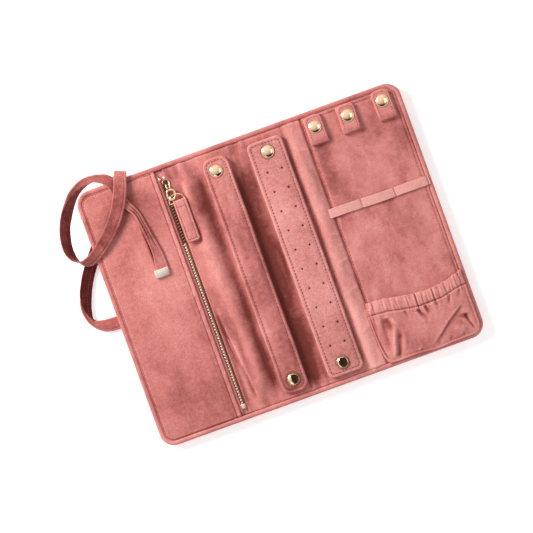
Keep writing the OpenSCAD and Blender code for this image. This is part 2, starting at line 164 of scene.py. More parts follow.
# ------------------------------------------------------------------ materials
class Shader:
    """A Principled material in the making, with short calls for the nodes it needs."""

    def __init__(self, name):
        self.material = bpy.data.materials.new(name)
        self.material.use_nodes = True
        self.tree = self.material.node_tree
        self.tree.nodes.clear()
        output = self.node("ShaderNodeOutputMaterial")
        self.principled = self.node("ShaderNodeBsdfPrincipled")
        self.tree.links.new(self.principled.outputs[0], output.inputs[0])
        self.position = self.node("ShaderNodeTexCoord").outputs["Object"]

    def node(self, kind, inputs=None, **settings):
        node = self.tree.nodes.new(kind)
        for key, value in settings.items():
            setattr(node, key, value)
        for key, value in (inputs or {}).items():
            self.feed(node.inputs[key], value)
        return node

    def feed(self, socket, value):
        """Links a socket or sets a value; colours may leave out their alpha."""
        if isinstance(value, bpy.types.NodeSocket):
            self.tree.links.new(value, socket)
        elif socket.type == "RGBA":
            socket.default_value = (*value, 1.0)[:4]
        else:
            socket.default_value = value

    def mapping(self, scale, rotation=(0, 0, 0)):
        return self.node("ShaderNodeMapping", {
            "Vector": self.position, "Scale": scale, "Rotation": rotation}).outputs[0]

    def noise(self, scale, detail=2, roughness=0.5, vector=None, distortion=0.0):
        return self.node("ShaderNodeTexNoise", {
            "Vector": self.position if vector is None else vector, "Scale": scale,
            "Detail": detail, "Roughness": roughness, "Distortion": distortion}).outputs[0]

    def wave(self, direction, scale, **inputs):
        sockets = {key.replace("_", " "): value for key, value in inputs.items()}
        return self.node("ShaderNodeTexWave", {
            "Vector": self.position, "Scale": scale, **sockets},
            wave_type="BANDS", bands_direction=direction).outputs["Fac"]

    def math(self, operation, a, b, clamp=False):
        return self.node("ShaderNodeMath", {0: a, 1: b},
                         operation=operation, use_clamp=clamp).outputs[0]

    def remap(self, value, source, target):
        """Maps the range source = (min, max) onto target = (min, max)."""
        return self.node("ShaderNodeMapRange", {
            "Value": value, "From Min": source[0], "From Max": source[1],
            "To Min": target[0], "To Max": target[1]}).outputs[0]

    def mix(self, factor, a, b, blend="MIX"):
        return self.node("ShaderNodeMix", {0: factor, 6: a, 7: b}, data_type="RGBA",
                         blend_type=blend, clamp_factor=True).outputs[2]

    def scaled(self, colour, factor):
        return self.node("ShaderNodeVectorMath", {0: colour, "Scale": factor},
                         operation="SCALE").outputs[0]

    def relief(self, height, strength, distance, normal=None):
        inputs = {"Height": height, "Strength": strength, "Distance": distance}
        if normal is not None:
            inputs["Normal"] = normal
        return self.node("ShaderNodeBump", inputs).outputs[0]

    def finish(self, **inputs):
        """Sets the Principled inputs, spaces written as underscores."""
        for key, value in inputs.items():
            self.feed(self.principled.inputs[key.replace("_", " ")], value)
        return self.material


def tinted(colour, factor):
    return tuple(min(1, c * factor) for c in colour)


def velvet(name, base, dark, light, nap_and_shade=1.0, grain=1.0, sheen=0.35, streak=(70, 14, 40)):
    """Short pile with drifting patches, brushed streaks, grain and worn edges.
    The pieces' painted shade and highlight attribute tips it darker (below 0) or paler (above 0)."""
    g = Shader(name)
    shade_and_light_attr = g.node("ShaderNodeAttribute", attribute_type="GEOMETRY", attribute_name="nap_and_shade")
    patches = g.noise(scale=24, detail=4, roughness=0.62, distortion=0.8)
    streaks = g.noise(scale=1.0, detail=4, roughness=0.65, vector=g.mapping(streak))
    pile = g.noise(scale=1500, detail=2, roughness=0.6)
    mottle = g.noise(scale=330, detail=3, roughness=0.7)

    def centred(value, amount):
        return g.math("MULTIPLY", g.math("SUBTRACT", value, 0.5), amount)

    tone = g.math("ADD", centred(patches, 1.55 * nap_and_shade), centred(streaks, 0.95 * nap_and_shade))
    tone = g.math("ADD", tone, centred(mottle, 0.75 * grain))
    geometry = g.node("ShaderNodeNewGeometry")
    wear_and_shade = g.remap(geometry.outputs["Pointiness"], source=(0.50, 0.56), target=(0.0, 0.22))
    tone = g.math("ADD", g.math("ADD", tone, wear_and_shade), shade_and_light_attr.outputs["Fac"])
    hue = g.mix(g.math("ADD", g.math("MULTIPLY", tone, 0.6), 0.5, clamp=True), dark, light)
    colour = g.mix(0.35, base, hue)
    # painted shade and highlight: below 0 the tone multiplies towards a shade tint, above 0 towards
    # a highlight tint
    darkening = g.math("MULTIPLY", tone, -1.0, clamp=True)
    paling = g.math("MULTIPLY", tone, 1.0, clamp=True)
    colour = g.mix(darkening, colour, (0.33, 0.235, 0.205), "MULTIPLY")
    colour = g.mix(paling, colour, (1.30, 1.62, 1.60), "MULTIPLY")
    speckle = 0.27 * grain
    value = g.remap(pile, source=(0.25, 0.75), target=(1.0 - speckle, 1.0 + speckle))
    colour = g.scaled(colour, value)
    coarse = g.relief(mottle, strength=0.35 * grain, distance=0.0004)
    fine = g.relief(pile, strength=0.55 * grain, distance=0.00022, normal=coarse)
    return g.finish(Base_Color=colour, Roughness=0.92, Normal=fine, Specular_IOR_Level=0.10,
                    Sheen_Weight=sheen, Sheen_Roughness=0.38, Sheen_Tint=(1.0, 0.70, 0.66))


def metal(name, base, roughness):
    """Polished metal with cloudy tone and fine scratches."""
    g = Shader(name)
    cloud = g.noise(scale=160, detail=3, roughness=0.6)
    scratch = g.noise(scale=1.0, detail=4, roughness=0.7,
                      vector=g.mapping((3500, 300, 900), rotation=(0.2, 0.1, 0.6)))
    paler = (base[0] * 1.03, base[1] * 1.08, base[2] * 1.2)
    colour = g.mix(g.remap(cloud, source=(0.3, 0.7), target=(0, 0.5)), base, paler)
    cloudy = g.remap(cloud, source=(0.3, 0.7), target=(roughness * 0.75, roughness * 1.25))
    rough = g.math("ADD", cloudy, g.remap(scratch, source=(0.55, 0.8), target=(0, 0.10)))
    return g.finish(Base_Color=colour, Metallic=1.0, Roughness=rough,
                    Normal=g.relief(scratch, strength=0.05, distance=0.00003))


def thread(name, base):
    """Twisted sewing thread."""
    g = Shader(name)
    twist = g.wave("DIAGONAL", scale=2600 / 6.28, Distortion=0.6)
    fuzz = g.noise(scale=900)
    colour = g.mix(twist, tuple(c * 0.72 for c in base), base)
    colour = g.mix(g.remap(fuzz, source=(0.3, 0.7), target=(0, 0.35)), colour,
                   tinted(base, 1.25))
    return g.finish(Base_Color=colour, Roughness=0.62, Sheen_Weight=0.3,
                    Normal=g.relief(twist, strength=0.5, distance=0.00008))


def weave(name, base, dark, rib, rib_axis):
    """Narrow woven tape: ribs across one axis and finer picks along another."""
    g = Shader(name)
    pick_axis = "Y" if rib_axis == "X" else "X"
    ribs, picks = (g.wave(axis, scale, Distortion=0.8, Detail=1, Detail_Scale=3)
                   for axis, scale in ((rib_axis, rib), (pick_axis, rib * 1.6)))
    height = g.math("ADD", ribs, g.math("MULTIPLY", picks, 0.35))
    cloud = g.noise(scale=300, detail=3, roughness=0.6)
    colour = g.mix(g.remap(height, source=(0.1, 1.2), target=(0, 1)), dark, base)
    colour = g.mix(g.remap(cloud, source=(0.3, 0.7), target=(0, 0.3)), colour,
                   tinted(base, 1.2))
    return g.finish(Base_Color=colour, Roughness=0.8, Sheen_Weight=0.25,
                    Normal=g.relief(height, strength=0.6, distance=0.00015))


def card(name):
    """Grey board with a fibrous surface."""
    g = Shader(name)
    fibre = g.noise(scale=700, detail=4, roughness=0.7)
    stain = g.noise(scale=60, detail=3, roughness=0.6)
    colour = g.mix(fibre, (0.20, 0.17, 0.15), (0.36, 0.32, 0.28))
    colour = g.mix(g.remap(stain, source=(0.3, 0.7), target=(0, 0.4)), colour,
                   (0.30, 0.27, 0.24))
    return g.finish(Base_Color=colour, Roughness=0.9,
                    Normal=g.relief(fibre, strength=0.4, distance=0.0002))


def foam(name):
    """White open-celled foam."""
    g = Shader(name)
    cells = g.node("ShaderNodeTexVoronoi", {"Vector": g.position, "Scale": 1400})
    cells = cells.outputs["Distance"]
    cloud = g.noise(scale=120, detail=3, roughness=0.6)
    colour = g.mix(g.remap(cloud, source=(0.3, 0.7), target=(0, 1)),
                   (0.80, 0.78, 0.72), (0.88, 0.86, 0.82))
    colour = g.scaled(colour, g.remap(cells, source=(0, 0.7), target=(0.72, 1.05)))
    return g.finish(Base_Color=colour, Roughness=0.95,
                    Normal=g.relief(cells, strength=0.5, distance=0.0002))


VELVET = velvet("velvet_rose", base=(0.600, 0.190, 0.172), dark=(0.440, 0.112, 0.104),
                light=(0.740, 0.300, 0.272), nap_and_shade=0.85)
LINING = velvet("velvet_lining", base=(0.62, 0.202, 0.183), dark=(0.450, 0.118, 0.110),
                light=(0.76, 0.32, 0.29))
OUTER = velvet("velvet_outer", base=(0.56, 0.166, 0.152), dark=(0.40, 0.100, 0.094),
               light=(0.70, 0.27, 0.245), nap_and_shade=1.2)
STRAP_VELVET = velvet("velvet_strap", base=(0.57, 0.178, 0.162), dark=(0.40, 0.104, 0.098),
                      light=(0.72, 0.29, 0.262), nap_and_shade=1.35)
# suede: fine nap, soft cloudy tone, almost no streaks
SUEDE = velvet("suede_pale", base=(0.70, 0.262, 0.236), dark=(0.56, 0.180, 0.162),
               light=(0.80, 0.36, 0.33), nap_and_shade=0.5, grain=1.2, sheen=0.3, streak=(30, 22, 30))
RIBBON = velvet("velvet_ribbon", base=(0.50, 0.140, 0.128), dark=(0.34, 0.080, 0.076),
                light=(0.66, 0.24, 0.218), nap_and_shade=1.3, streak=(120, 120, 120))
# a darkened copy of the ribbon velvet for its inner face: painted shade
RIBBON_INNER_SHADED = velvet("velvet_ribbon_inner_shaded", base=(0.30, 0.065, 0.062),
                      dark=(0.20, 0.038, 0.038), light=(0.46, 0.13, 0.12), nap_and_shade=1.1,
                      sheen=0.3, streak=(120, 120, 120))
GOLD = metal("gold_polished", base=(0.93, 0.645, 0.405), roughness=0.10)
# darker, shaded copies of the gold (painted shade) for the teeth near the puller, the lower tooth
# row and the slider top
GOLD_IN_SHADE = metal("gold_shaded", base=(0.085, 0.038, 0.02), roughness=0.24)
GOLD_ZIP_SHADED = metal("gold_zip_shaded", base=(0.50, 0.33, 0.19), roughness=0.28)
GOLD_ZIP_DEEP_SHADE = metal("gold_zip_deep_shade", base=(0.40, 0.235, 0.125), roughness=0.26)
GOLD_ZIP = metal("gold_zip", base=(0.95, 0.76, 0.55), roughness=0.24)
GOLD_CLIP = metal("gold_clip", base=(1.0, 0.87, 0.73), roughness=0.26)
THREAD = thread("thread_rose", (0.24, 0.045, 0.048))
THREAD_DARK = thread("thread_rose_dark", (0.15, 0.026, 0.028))
thread("thread_rose_light", (0.56, 0.16, 0.15))     # a spare shade, on no piece yet
ELASTIC = weave("elastic_woven", base=(0.86, 0.41, 0.37), dark=(0.62, 0.24, 0.22),
                rib=260, rib_axis="X")
TAPE = weave("zip_tape_twill", base=(0.58, 0.18, 0.165), dark=(0.36, 0.09, 0.085),
             rib=330, rib_axis="DIAGONAL")
TACK_THREAD = thread("thread_tack", (0.50, 0.085, 0.090))
CARD = card("card_grey")
FOAM = foam("foam_white")
HOLE = card("hole_dark")


# ------------------------------------------------------------------ mesh helpers
def new_mesh(name, verts, faces, *mats):
    """A smooth-shaded object from vertices in mm."""
    mesh = bpy.data.meshes.new(name)
    mesh.from_pydata([(v[0] * MM, v[1] * MM, v[2] * MM) for v in verts], [], faces)
    mesh.validate(clean_customdata=False)
    bm = bmesh.new()
    bm.from_mesh(mesh)
    bmesh.ops.recalc_face_normals(bm, faces=bm.faces)
    bm.to_mesh(mesh)
    bm.free()
    ob = bpy.data.objects.new(name, mesh)
    bpy.context.scene.collection.objects.link(ob)
    mesh.polygons.foreach_set("use_smooth", [True] * len(mesh.polygons))
    for mat in mats:
        mesh.materials.append(mat)
    return ob


def autosmooth(ob, degrees):
    """Sharp edges where faces meet at a steep angle, smooth elsewhere."""
    bm = bmesh.new()
    bm.from_mesh(ob.data)
    limit = math.radians(degrees)
    for edge in bm.edges:
        if len(edge.link_faces) == 2:
            edge.smooth = edge.calc_face_angle(0) < limit
    for face in bm.faces:
        face.smooth = True
    bm.to_mesh(ob.data)
    bm.free()
    return ob


def join(name, obs):
    """One object from several, keeping their materials but not their attributes."""
    mats, verts, faces, face_mats = [], [], [], []
    for ob in obs:
        base = len(verts)
        verts += [tuple(v.co) for v in ob.data.vertices]
        slots = []
        for mat in ob.data.materials:
            if mat not in mats:
                mats.append(mat)
            slots.append(mats.index(mat))
        for polygon in ob.data.polygons:
            faces.append([base + i for i in polygon.vertices])
            face_mats.append(slots[polygon.material_index])
    mesh = bpy.data.meshes.new(name)
    mesh.from_pydata(verts, [], faces)
    for mat in mats:
        mesh.materials.append(mat)
    mesh.polygons.foreach_set("material_index", face_mats)
    mesh.polygons.foreach_set("use_smooth", [True] * len(faces))
    for ob in obs:
        bpy.data.objects.remove(ob, do_unlink=True)
    joined = bpy.data.objects.new(name, mesh)
    bpy.context.scene.collection.objects.link(joined)
    return joined


def shell(name, top, bottom, mat):
    """Closed solid between two (rows, columns, 3) grids of points."""
    rows, cols = top.shape[:2]
    half = rows * cols
    verts = np.concatenate([top.reshape(-1, 3), bottom.reshape(-1, 3)]).tolist()
    faces = []
    for i in range(rows - 1):
        for j in range(cols - 1):
            a = i * cols + j
            faces.append((a, a + cols, a + cols + 1, a + 1))
            faces.append((half + a, half + a + 1, half + a + cols + 1, half + a + cols))
    rim = list(range(cols)) + [i * cols + cols - 1 for i in range(1, rows)]
    rim += [(rows - 1) * cols + j for j in range(cols - 2, -1, -1)]
    rim += [i * cols for i in range(rows - 2, 0, -1)]
    for a, b in zip(rim, rim[1:] + rim[:1]):
        faces.append((a, b, half + b, half + a))
    return new_mesh(name, verts, faces, mat)


def slab(name, x, y, z_top, z_bottom, mat):
    """Closed solid between two heights, each a number or a grid like x and y."""
    top, bottom = (np.stack(np.broadcast_arrays(x, y, z), -1) for z in (z_top, z_bottom))
    return shell(name, top, bottom, mat)


def ring_faces(rings, sides, base=0):
    """Quads between successive rings of vertices, and a face over each end."""
    faces = []
    for i in range(rings - 1):
        for k in range(sides):
            a = base + i * sides + k
            b = base + i * sides + (k + 1) % sides
            faces.append((a, b, b + sides, a + sides))
    last = base + (rings - 1) * sides
    faces.append(tuple(range(base, base + sides)))
    faces.append(tuple(range(last, last + sides)))
    return faces


def unit(vectors):
    return vectors / np.linalg.norm(vectors, axis=-1, keepdims=True)


def tangents(points):
    return unit(np.gradient(points, axis=0))


def run_lengths(points):
    """Distance travelled along a polyline at each of its points."""
    steps = np.linalg.norm(np.diff(points, axis=0), axis=1)
    return np.concatenate([[0], np.cumsum(steps)])


def tube(name, path, radius, mat, sides, closed=False):
    """Round wire along a path; open ends are slightly pointed."""
    points = np.array(path, float)
    count = len(points)
    if closed:
        tangent = unit(np.roll(points, -1, 0) - np.roll(points, 1, 0))
    else:
        tangent = tangents(points)
    verts, faces = [], []
    side = np.cross(tangent[0], (0, 0, 1.0))
    for point, ahead in zip(points, tangent):
        side = unit(side - ahead * (side @ ahead))
        up = np.cross(side, ahead)
        for k in range(sides):
            a = 2 * math.pi * k / sides
            verts.append(point + radius * (math.cos(a) * side + math.sin(a) * up))
    for i in range(count if closed else count - 1):
        here, there = i * sides, (i + 1) % count * sides
        for k in range(sides):
            k2 = (k + 1) % sides
            faces.append((here + k, here + k2, there + k2, there + k))
    if not closed:
        for i, sign in ((0, -1), (count - 1, 1)):
            tip = len(verts)
            verts.append(points[i] + sign * tangent[i] * radius * 0.45)
            for k in range(sides):
                faces.append((i * sides + k, i * sides + (k + 1) % sides, tip))
    return new_mesh(name, verts, faces, mat)


def lathe(name, profile, centre, mat, sides):
    """Profile of (radius, z) turned about a vertical axis through centre."""
    verts, faces, rings = [], [], []
    for r, z in profile:
        corners = 1 if r < 1e-6 else sides
        rings.append(list(range(len(verts), len(verts) + corners)))
        for k in range(corners):
            a = 2 * math.pi * k / sides
            verts.append((centre[0] + r * math.cos(a), centre[1] + r * math.sin(a),
                          centre[2] + z))
    for a, b in zip(rings, rings[1:]):
        for k in range(sides):
            k2 = (k + 1) % sides
            if len(a) == 1:
                faces.append((a[0], b[k], b[k2]))
            elif len(b) == 1:
                faces.append((a[k], b[0], a[k2]))
            else:
                faces.append((a[k], b[k], b[k2], a[k2]))
    return autosmooth(new_mesh(name, verts, faces, mat), 50)


def rounded_box(size, bevel, segments):
    """Vertices and faces of a bevelled box centred on the origin."""
    bm = bmesh.new()
    bmesh.ops.create_cube(bm, size=1.0)
    for v in bm.verts:
        v.co.x *= size[0]
        v.co.y *= size[1]
        v.co.z *= size[2]
    bmesh.ops.bevel(bm, geom=list(bm.edges), offset=bevel, segments=segments, profile=0.5,
                    affect="EDGES")
    bm.verts.ensure_lookup_table()
    verts = np.array([v.co[:] for v in bm.verts])
    faces = [[v.index for v in f.verts] for f in bm.faces]
    bm.free()
    return verts, faces


def copies(name, shape, places, mat):
    """Repeats a shape at each (x, y, z, turn about Z) in one mesh."""
    verts, faces = [], []
    for x, y, z, turn in places:
        c, s = math.cos(turn), math.sin(turn)
        base = len(verts)
        for p in shape[0]:
            verts.append((x + c * p[0] - s * p[1], y + s * p[0] + c * p[1], z + p[2]))
        faces += [[base + i for i in face] for face in shape[1]]
    return autosmooth(new_mesh(name, verts, faces, mat), 40)


# ------------------------------------------------------------------ paths and outlines
def resample(path, step, closed=False):
    """Evenly spaced points along a polyline."""
    points = np.array(path, float)
    if closed:
        points = np.vstack([points, points[:1]])
    run = run_lengths(points)
    t = np.linspace(0, run[-1], max(2, int(round(run[-1] / step)) + 1))
    out = np.stack([np.interp(t, run, column) for column in points.T], -1)
    return out[:-1] if closed else out


def spline(points, steps):
    """Catmull-Rom curve through rows of numbers."""
    rows = [np.array(p, float) for p in points]
    out = []
    for i in range(len(rows) - 1):
        a, b, c, d = rows[max(i - 1, 0)], rows[i], rows[i + 1], rows[min(i + 2, len(rows) - 1)]
        for k in range(steps):
            t = k / steps
            out.append(0.5 * (2 * b + (c - a) * t + (2 * a - 5 * b + 4 * c - d) * t * t
                              + (3 * b - a - 3 * c + d) * t ** 3))
    out.append(rows[-1])
    return np.array(out)


def shrunk(rect, gap):
    x0, x1, y0, y1 = rect
    return x0 + gap, x1 - gap, y0 + gap, y1 - gap


def rounded_path(rect, radius, steps):
    """Rounded rectangle as a closed anticlockwise loop of points."""
    x0, x1, y0, y1 = shrunk(rect, radius)
    out = []
    for cx, cy, start in ((x1, y0, -90), (x1, y1, 0), (x0, y1, 90), (x0, y0, 180)):
        for k in range(steps + 1):
            a = math.radians(start + 90 * k / steps)
            out.append((cx + radius * math.cos(a), cy + radius * math.sin(a), 0.0))
    return np.array(out)


def inset(x, y, rect, radius):
    """Distance inwards from the edge of a rounded rectangle (negative outside)."""
    x0, x1, y0, y1 = rect
    qx = np.abs(x - (x0 + x1) / 2) - ((x1 - x0) / 2 - radius)
    qy = np.abs(y - (y0 + y1) / 2) - ((y1 - y0) / 2 - radius)
    outside = np.hypot(np.clip(qx, 0, None), np.clip(qy, 0, None))
    return -(outside + np.minimum(np.maximum(qx, qy), 0) - radius)


def from_roll(x, y):
    """Distance inwards from the inner side of the case's rolled edge."""
    return inset(x, y, CASE, CORNER) - ROLL


def axis_points(a, b, step, fine, low=True, high=True):
    """Positions from a to b, set closer at the chosen ends by the offsets in fine."""
    first = [a + f for f in fine] if low else [a]
    last = [b - f for f in fine][::-1] if high else [b]
    count = max(1, int(round((last[0] - first[-1]) / step)))
    middle = list(np.linspace(first[-1], last[0], count + 1))[1:-1]
    return np.array(first + middle + last)


EDGE_STEPS = (0.0, 0.12, 0.35, 0.75, 1.3, 2.0, 2.7, 3.4)


def soft_grid(rect, step, fine=EDGE_STEPS, left=True, right=True):
    """Grid over a rectangle, finer along its edges."""
    x0, x1, y0, y1 = rect
    return np.meshgrid(axis_points(x0, x1, step, fine, left, right),
                       axis_points(y0, y1, step, fine), indexing="ij")


def round_corners(x, y, rect, radius, corners=("bl", "br", "tl", "tr")):
    """Pulls grid points at the named corners (b/t, l/r) in to an arc."""
    x0, x1, y0, y1 = rect
    for corner in corners:
        side_x, side_y = (-1 if corner[1] == "l" else 1), (-1 if corner[0] == "b" else 1)
        cx = x0 + radius if side_x < 0 else x1 - radius
        cy = y0 + radius if side_y < 0 else y1 - radius
        dx, dy = (x - cx) * side_x, (y - cy) * side_y
        u, v = np.clip(dx, 0, None) / radius, np.clip(dy, 0, None) / radius
        square, disc = np.maximum(u, v), np.hypot(u, v)
        ratio = np.where(disc > 1e-9, square / np.maximum(disc, 1e-9), 1)
        # eased in so that inner cells stay even
        pull = 1 + (ratio - 1) * square ** 1.5
        inside = (dx > 0) & (dy > 0)
        x = np.where(inside, cx + side_x * dx * pull, x)
        y = np.where(inside, cy + side_y * dy * pull, y)
    return x, y


def open_arc(loop, keep, side, centre_x):
    """The kept part of a loop, in order round a point on the X axis; side faces it (+-1)."""
    points = loop[keep]
    return points[np.argsort(np.arctan2(points[:, 1], side * (points[:, 0] - centre_x)))]


def upright_row(x, y0, y1, count=40):
    return [(x, y, 0) for y in np.linspace(y0, y1, count)]


# ------------------------------------------------------------------ stitches
STITCH_SIDES = 6
# along a stitch: position in half lengths, radius share, lift
STITCH_SHAPE = ((-1, 0.35, -0.30), (-0.72, 0.85, 0.03), (-0.3, 1.0, 0.13),
                (0.3, 1.0, 0.13), (0.72, 0.85, 0.03), (1, 0.35, -0.30))
RIBBON_STITCH_SHAPE = ((-1, 0.35, -0.5), (-0.65, 0.9, 0), (0, 1, 0.12),
                       (0.65, 0.9, 0), (1, 0.35, -0.5))
STITCH_ANGLES = [2 * math.pi * k / STITCH_SIDES for k in range(STITCH_SIDES)]


def stitches(name, path, height, seed, mat=THREAD, pitch=2.6, length=1.8, radius=0.22,
             closed=False, sink=0.02):
    """A row of thread bars along a path, on a surface height(x, y), dipping at their ends."""
    rnd = random.Random(seed)
    points = resample(path, pitch, closed)
    verts, faces = [], []
    for i in range(len(points) if closed else len(points) - 1):
        a, b = points[i], points[(i + 1) % len(points)]
        gap = np.linalg.norm((b - a)[:2])
        if gap < 0.5:       # no room for a stitch
            continue
        ahead = (b - a) / gap
        side = np.array([-ahead[1], ahead[0], 0])
        centre = (a + b) / 2 + side * rnd.uniform(-0.06, 0.06)
        half = length / 2 * rnd.uniform(0.93, 1.05)
        faces += ring_faces(len(STITCH_SHAPE), STITCH_SIDES, len(verts))
        for along, share, lift in STITCH_SHAPE:
            q = centre + ahead * (along * half)
            z = height(q[0], q[1]) - sink + lift * radius * 2.4
            for angle in STITCH_ANGLES:
                w = q + side * (math.cos(angle) * radius * share)
                verts.append((w[0], w[1], z + math.sin(angle) * radius * share))
    return new_mesh(name, verts, faces, mat)


# ------------------------------------------------------------------ painted shade and highlight
def blur(heights, passes):
    for _ in range(passes):
        p = np.pad(heights, 1, mode="edge")
        heights = (p[:-2, 1:-1] + p[2:, 1:-1] + p[1:-1, :-2] + p[1:-1, 2:]
                   + 4 * p[1:-1, 1:-1]) / 8
    return heights


def cavity_shade(heights, passes, gain, low, high):
    """Painted shade below 0 in creases and painted highlight above 0 along ridges."""
    return np.clip((heights - blur(heights, passes)) * gain, low, high)


def paint(ob, values):
    """Stores the painted light and shade, with its drifting tone, on the first vertices (a slab's
    top); the rest get 0.
    """
    values = np.asarray(values, float).reshape(-1)
    nap_and_shade = np.zeros(len(ob.data.vertices), np.float32)
    nap_and_shade[:len(values)] = values
    ob.data.attributes.new("nap_and_shade", "FLOAT", "POINT").data.foreach_set("value", nap_and_shade)
    return ob


def coords(ob):
    """The x, y and z of all vertices."""
    co = np.empty(len(ob.data.vertices) * 3)
    ob.data.vertices.foreach_get("co", co)
    return (co.reshape(-1, 3) / MM).T


# ------------------------------------------------------------------ inner lining
# creases across the right seam: y, height, slope
SEAM_CREASES = ((-14, 0.55, 0.25), (8, 0.45, -0.2), (-38, 0.6, 0.35),
                (52, 0.35, -0.3), (-70, 0.5, 0.5), (80, 0.5, -0.35))
SEAM_CREASE_SHARE = np.sin(2.2)
# painted shade and highlight streaks: amount, x at y = 0, lean, width, (start, width) of the rise
# along y, (end, width) of the fall
SHADE_AND_LIGHT_STREAKS = (
    (-0.55, -51.0, 0.00, 2.2, (34, 14), (76, 6)), (-0.35, -45.5, 0.00, 4.0, (46, 26), (104, 8)),
    (0.16, -49.5, -0.02, 4.6, (-104, 20), (30, 30)),
    (-0.50, -60.0, 0.02, 2.2, (-101, 10), (-6, 22)),
    (0.34, -53.8, 0.05, 1.9, (-100, 12), (-34, 16)),
    (-0.26, -49.9, 0.05, 2.0, (-100, 12), (-30, 16)),
    (-0.42, -35.5, -0.25, 2.0, (86, 8), (200, 1)), (-0.30, -63.3, 0.10, 2.2, (88, 10), (200, 1)),
)
LINING_SPOTS = ((-0.18, 94, 66, 13, 14), (-0.18, 107, -12, 12, 18), (-0.16, -50, -80, 6, 14))


def left_folds(x, y, ends):
    """Soft folds between the zip and the ring strap."""
    zone = rise(x, -63, 5) * fall(x, -32, 3)
    middle = -47.5 + 2.2 * NOISE_B(y / 60.0, 1.5) - 0.012 * y
    bulge = bump(x, middle, 7.5 + 1.6 * NOISE_C(y / 45, 2.0))
    under_puller = rise(y, 34, 8) * fall(y, 92, 8) * fall(x, -51, 3)    # kept flat
    z = ends * (2.7 * bulge * (1 - 0.85 * under_puller) - 0.75 * bump(x, -37, 4.2))
    # a sharp diagonal fold low down next to the zip, with a valley beside it
    across = x + 61.5 + 0.115 * (y + 18)
    low_down = fall(y, -8, 12) * rise(y, -98, 16)
    z = z + 1.7 * rise(across, -0.4, 1.1) * decay(across, 5.5) * low_down
    z = z - 0.8 * bump(across, -1.2, 1.3) * low_down
    # puckers at both sewn ends
    ripple = np.sin((x + 0.22 * y) / 2.4 + 2.0 * NOISE_B(x / 9, y / 26))
    z = z + rise(np.abs(y), 76, 22) * 0.75 * ripple * bump(x, -47, 12)
    return zone * (z + ends * 0.55 * layered(NOISE_A, x / 14 + 3, y / 22))


def strap_valley(x, y):
    """The dip between the straps, puckered at its ends."""
    depth = (0.72 + 0.25 * NOISE_B(x / 6, y / 30)) * fall(np.abs(y), 104, 14)
    ripple = np.sin(x / 1.9 + 2 * NOISE_A(x / 7, y / 18))
    pucker = 0.55 * rise(np.abs(y), 70, 20) * ripple
    return rise(x, -11.5, 3) * fall(x, 6.6, 3) * (pucker - depth)


def right_folds(x, y, ends):
    """The bulge that falls into the right seam, and the creases across the seam."""
    bulge = bump(x, 45.0 + 1.2 * NOISE_B(y / 50, 7), 6.2) * (0.55 + 0.45 * ends)
    z = 1.9 * bulge - 0.55 * bump(x, 37, 2.4) + 0.5 * layered(NOISE_C, x / 9, y / 20)
    for crease_y, height, slope in SEAM_CREASES:
        line = bump(y - slope * (x - 50), crease_y, 1.6 + 0.8 * NOISE_A(x / 8, crease_y))
        z = z + height * SEAM_CREASE_SHARE * line * bump(x, 50, 6)
    return rise(x, 35.6, 3) * fall(x, 54.4, 2.2) * z


def lining_z(x, y):
    """Top of the inner lining."""
    x, y = np.asarray(x, float), np.asarray(y, float)
    ends = fall(np.abs(y), TOP - ROLL, 22.0)        # folds flatten at the sewn edges
    z = LINING_TOP + left_folds(x, y, ends) + strap_valley(x, y) + right_folds(x, y, ends)
    # the slightly padded right panel and the seam at its left side
    z = z + rise(x, 54.2, 2.5) * (0.35 + 0.30 * layered(NOISE_B, x / 24, y / 30))
    z = z - 0.95 * bump(x, 53.8, 0.85) * fall(np.abs(y), TOP - ROLL + 1, 2)
    z = z + 0.10 * layered(NOISE_A, x / 5, y / 6, 2)
    # the dip at the rolled edge, and the stitch groove of the right panel
    d = from_roll(x, y)
    z = z - 0.9 * decay(d + 0.2, 0.55) + 0.12 * bump(d, 1.4, 0.9)
    z = z - rise(x, 56, 4) * 0.42 * bump(d, 2.9, 0.42)
    return np.maximum(z, LINING_BOTTOM + 0.09)


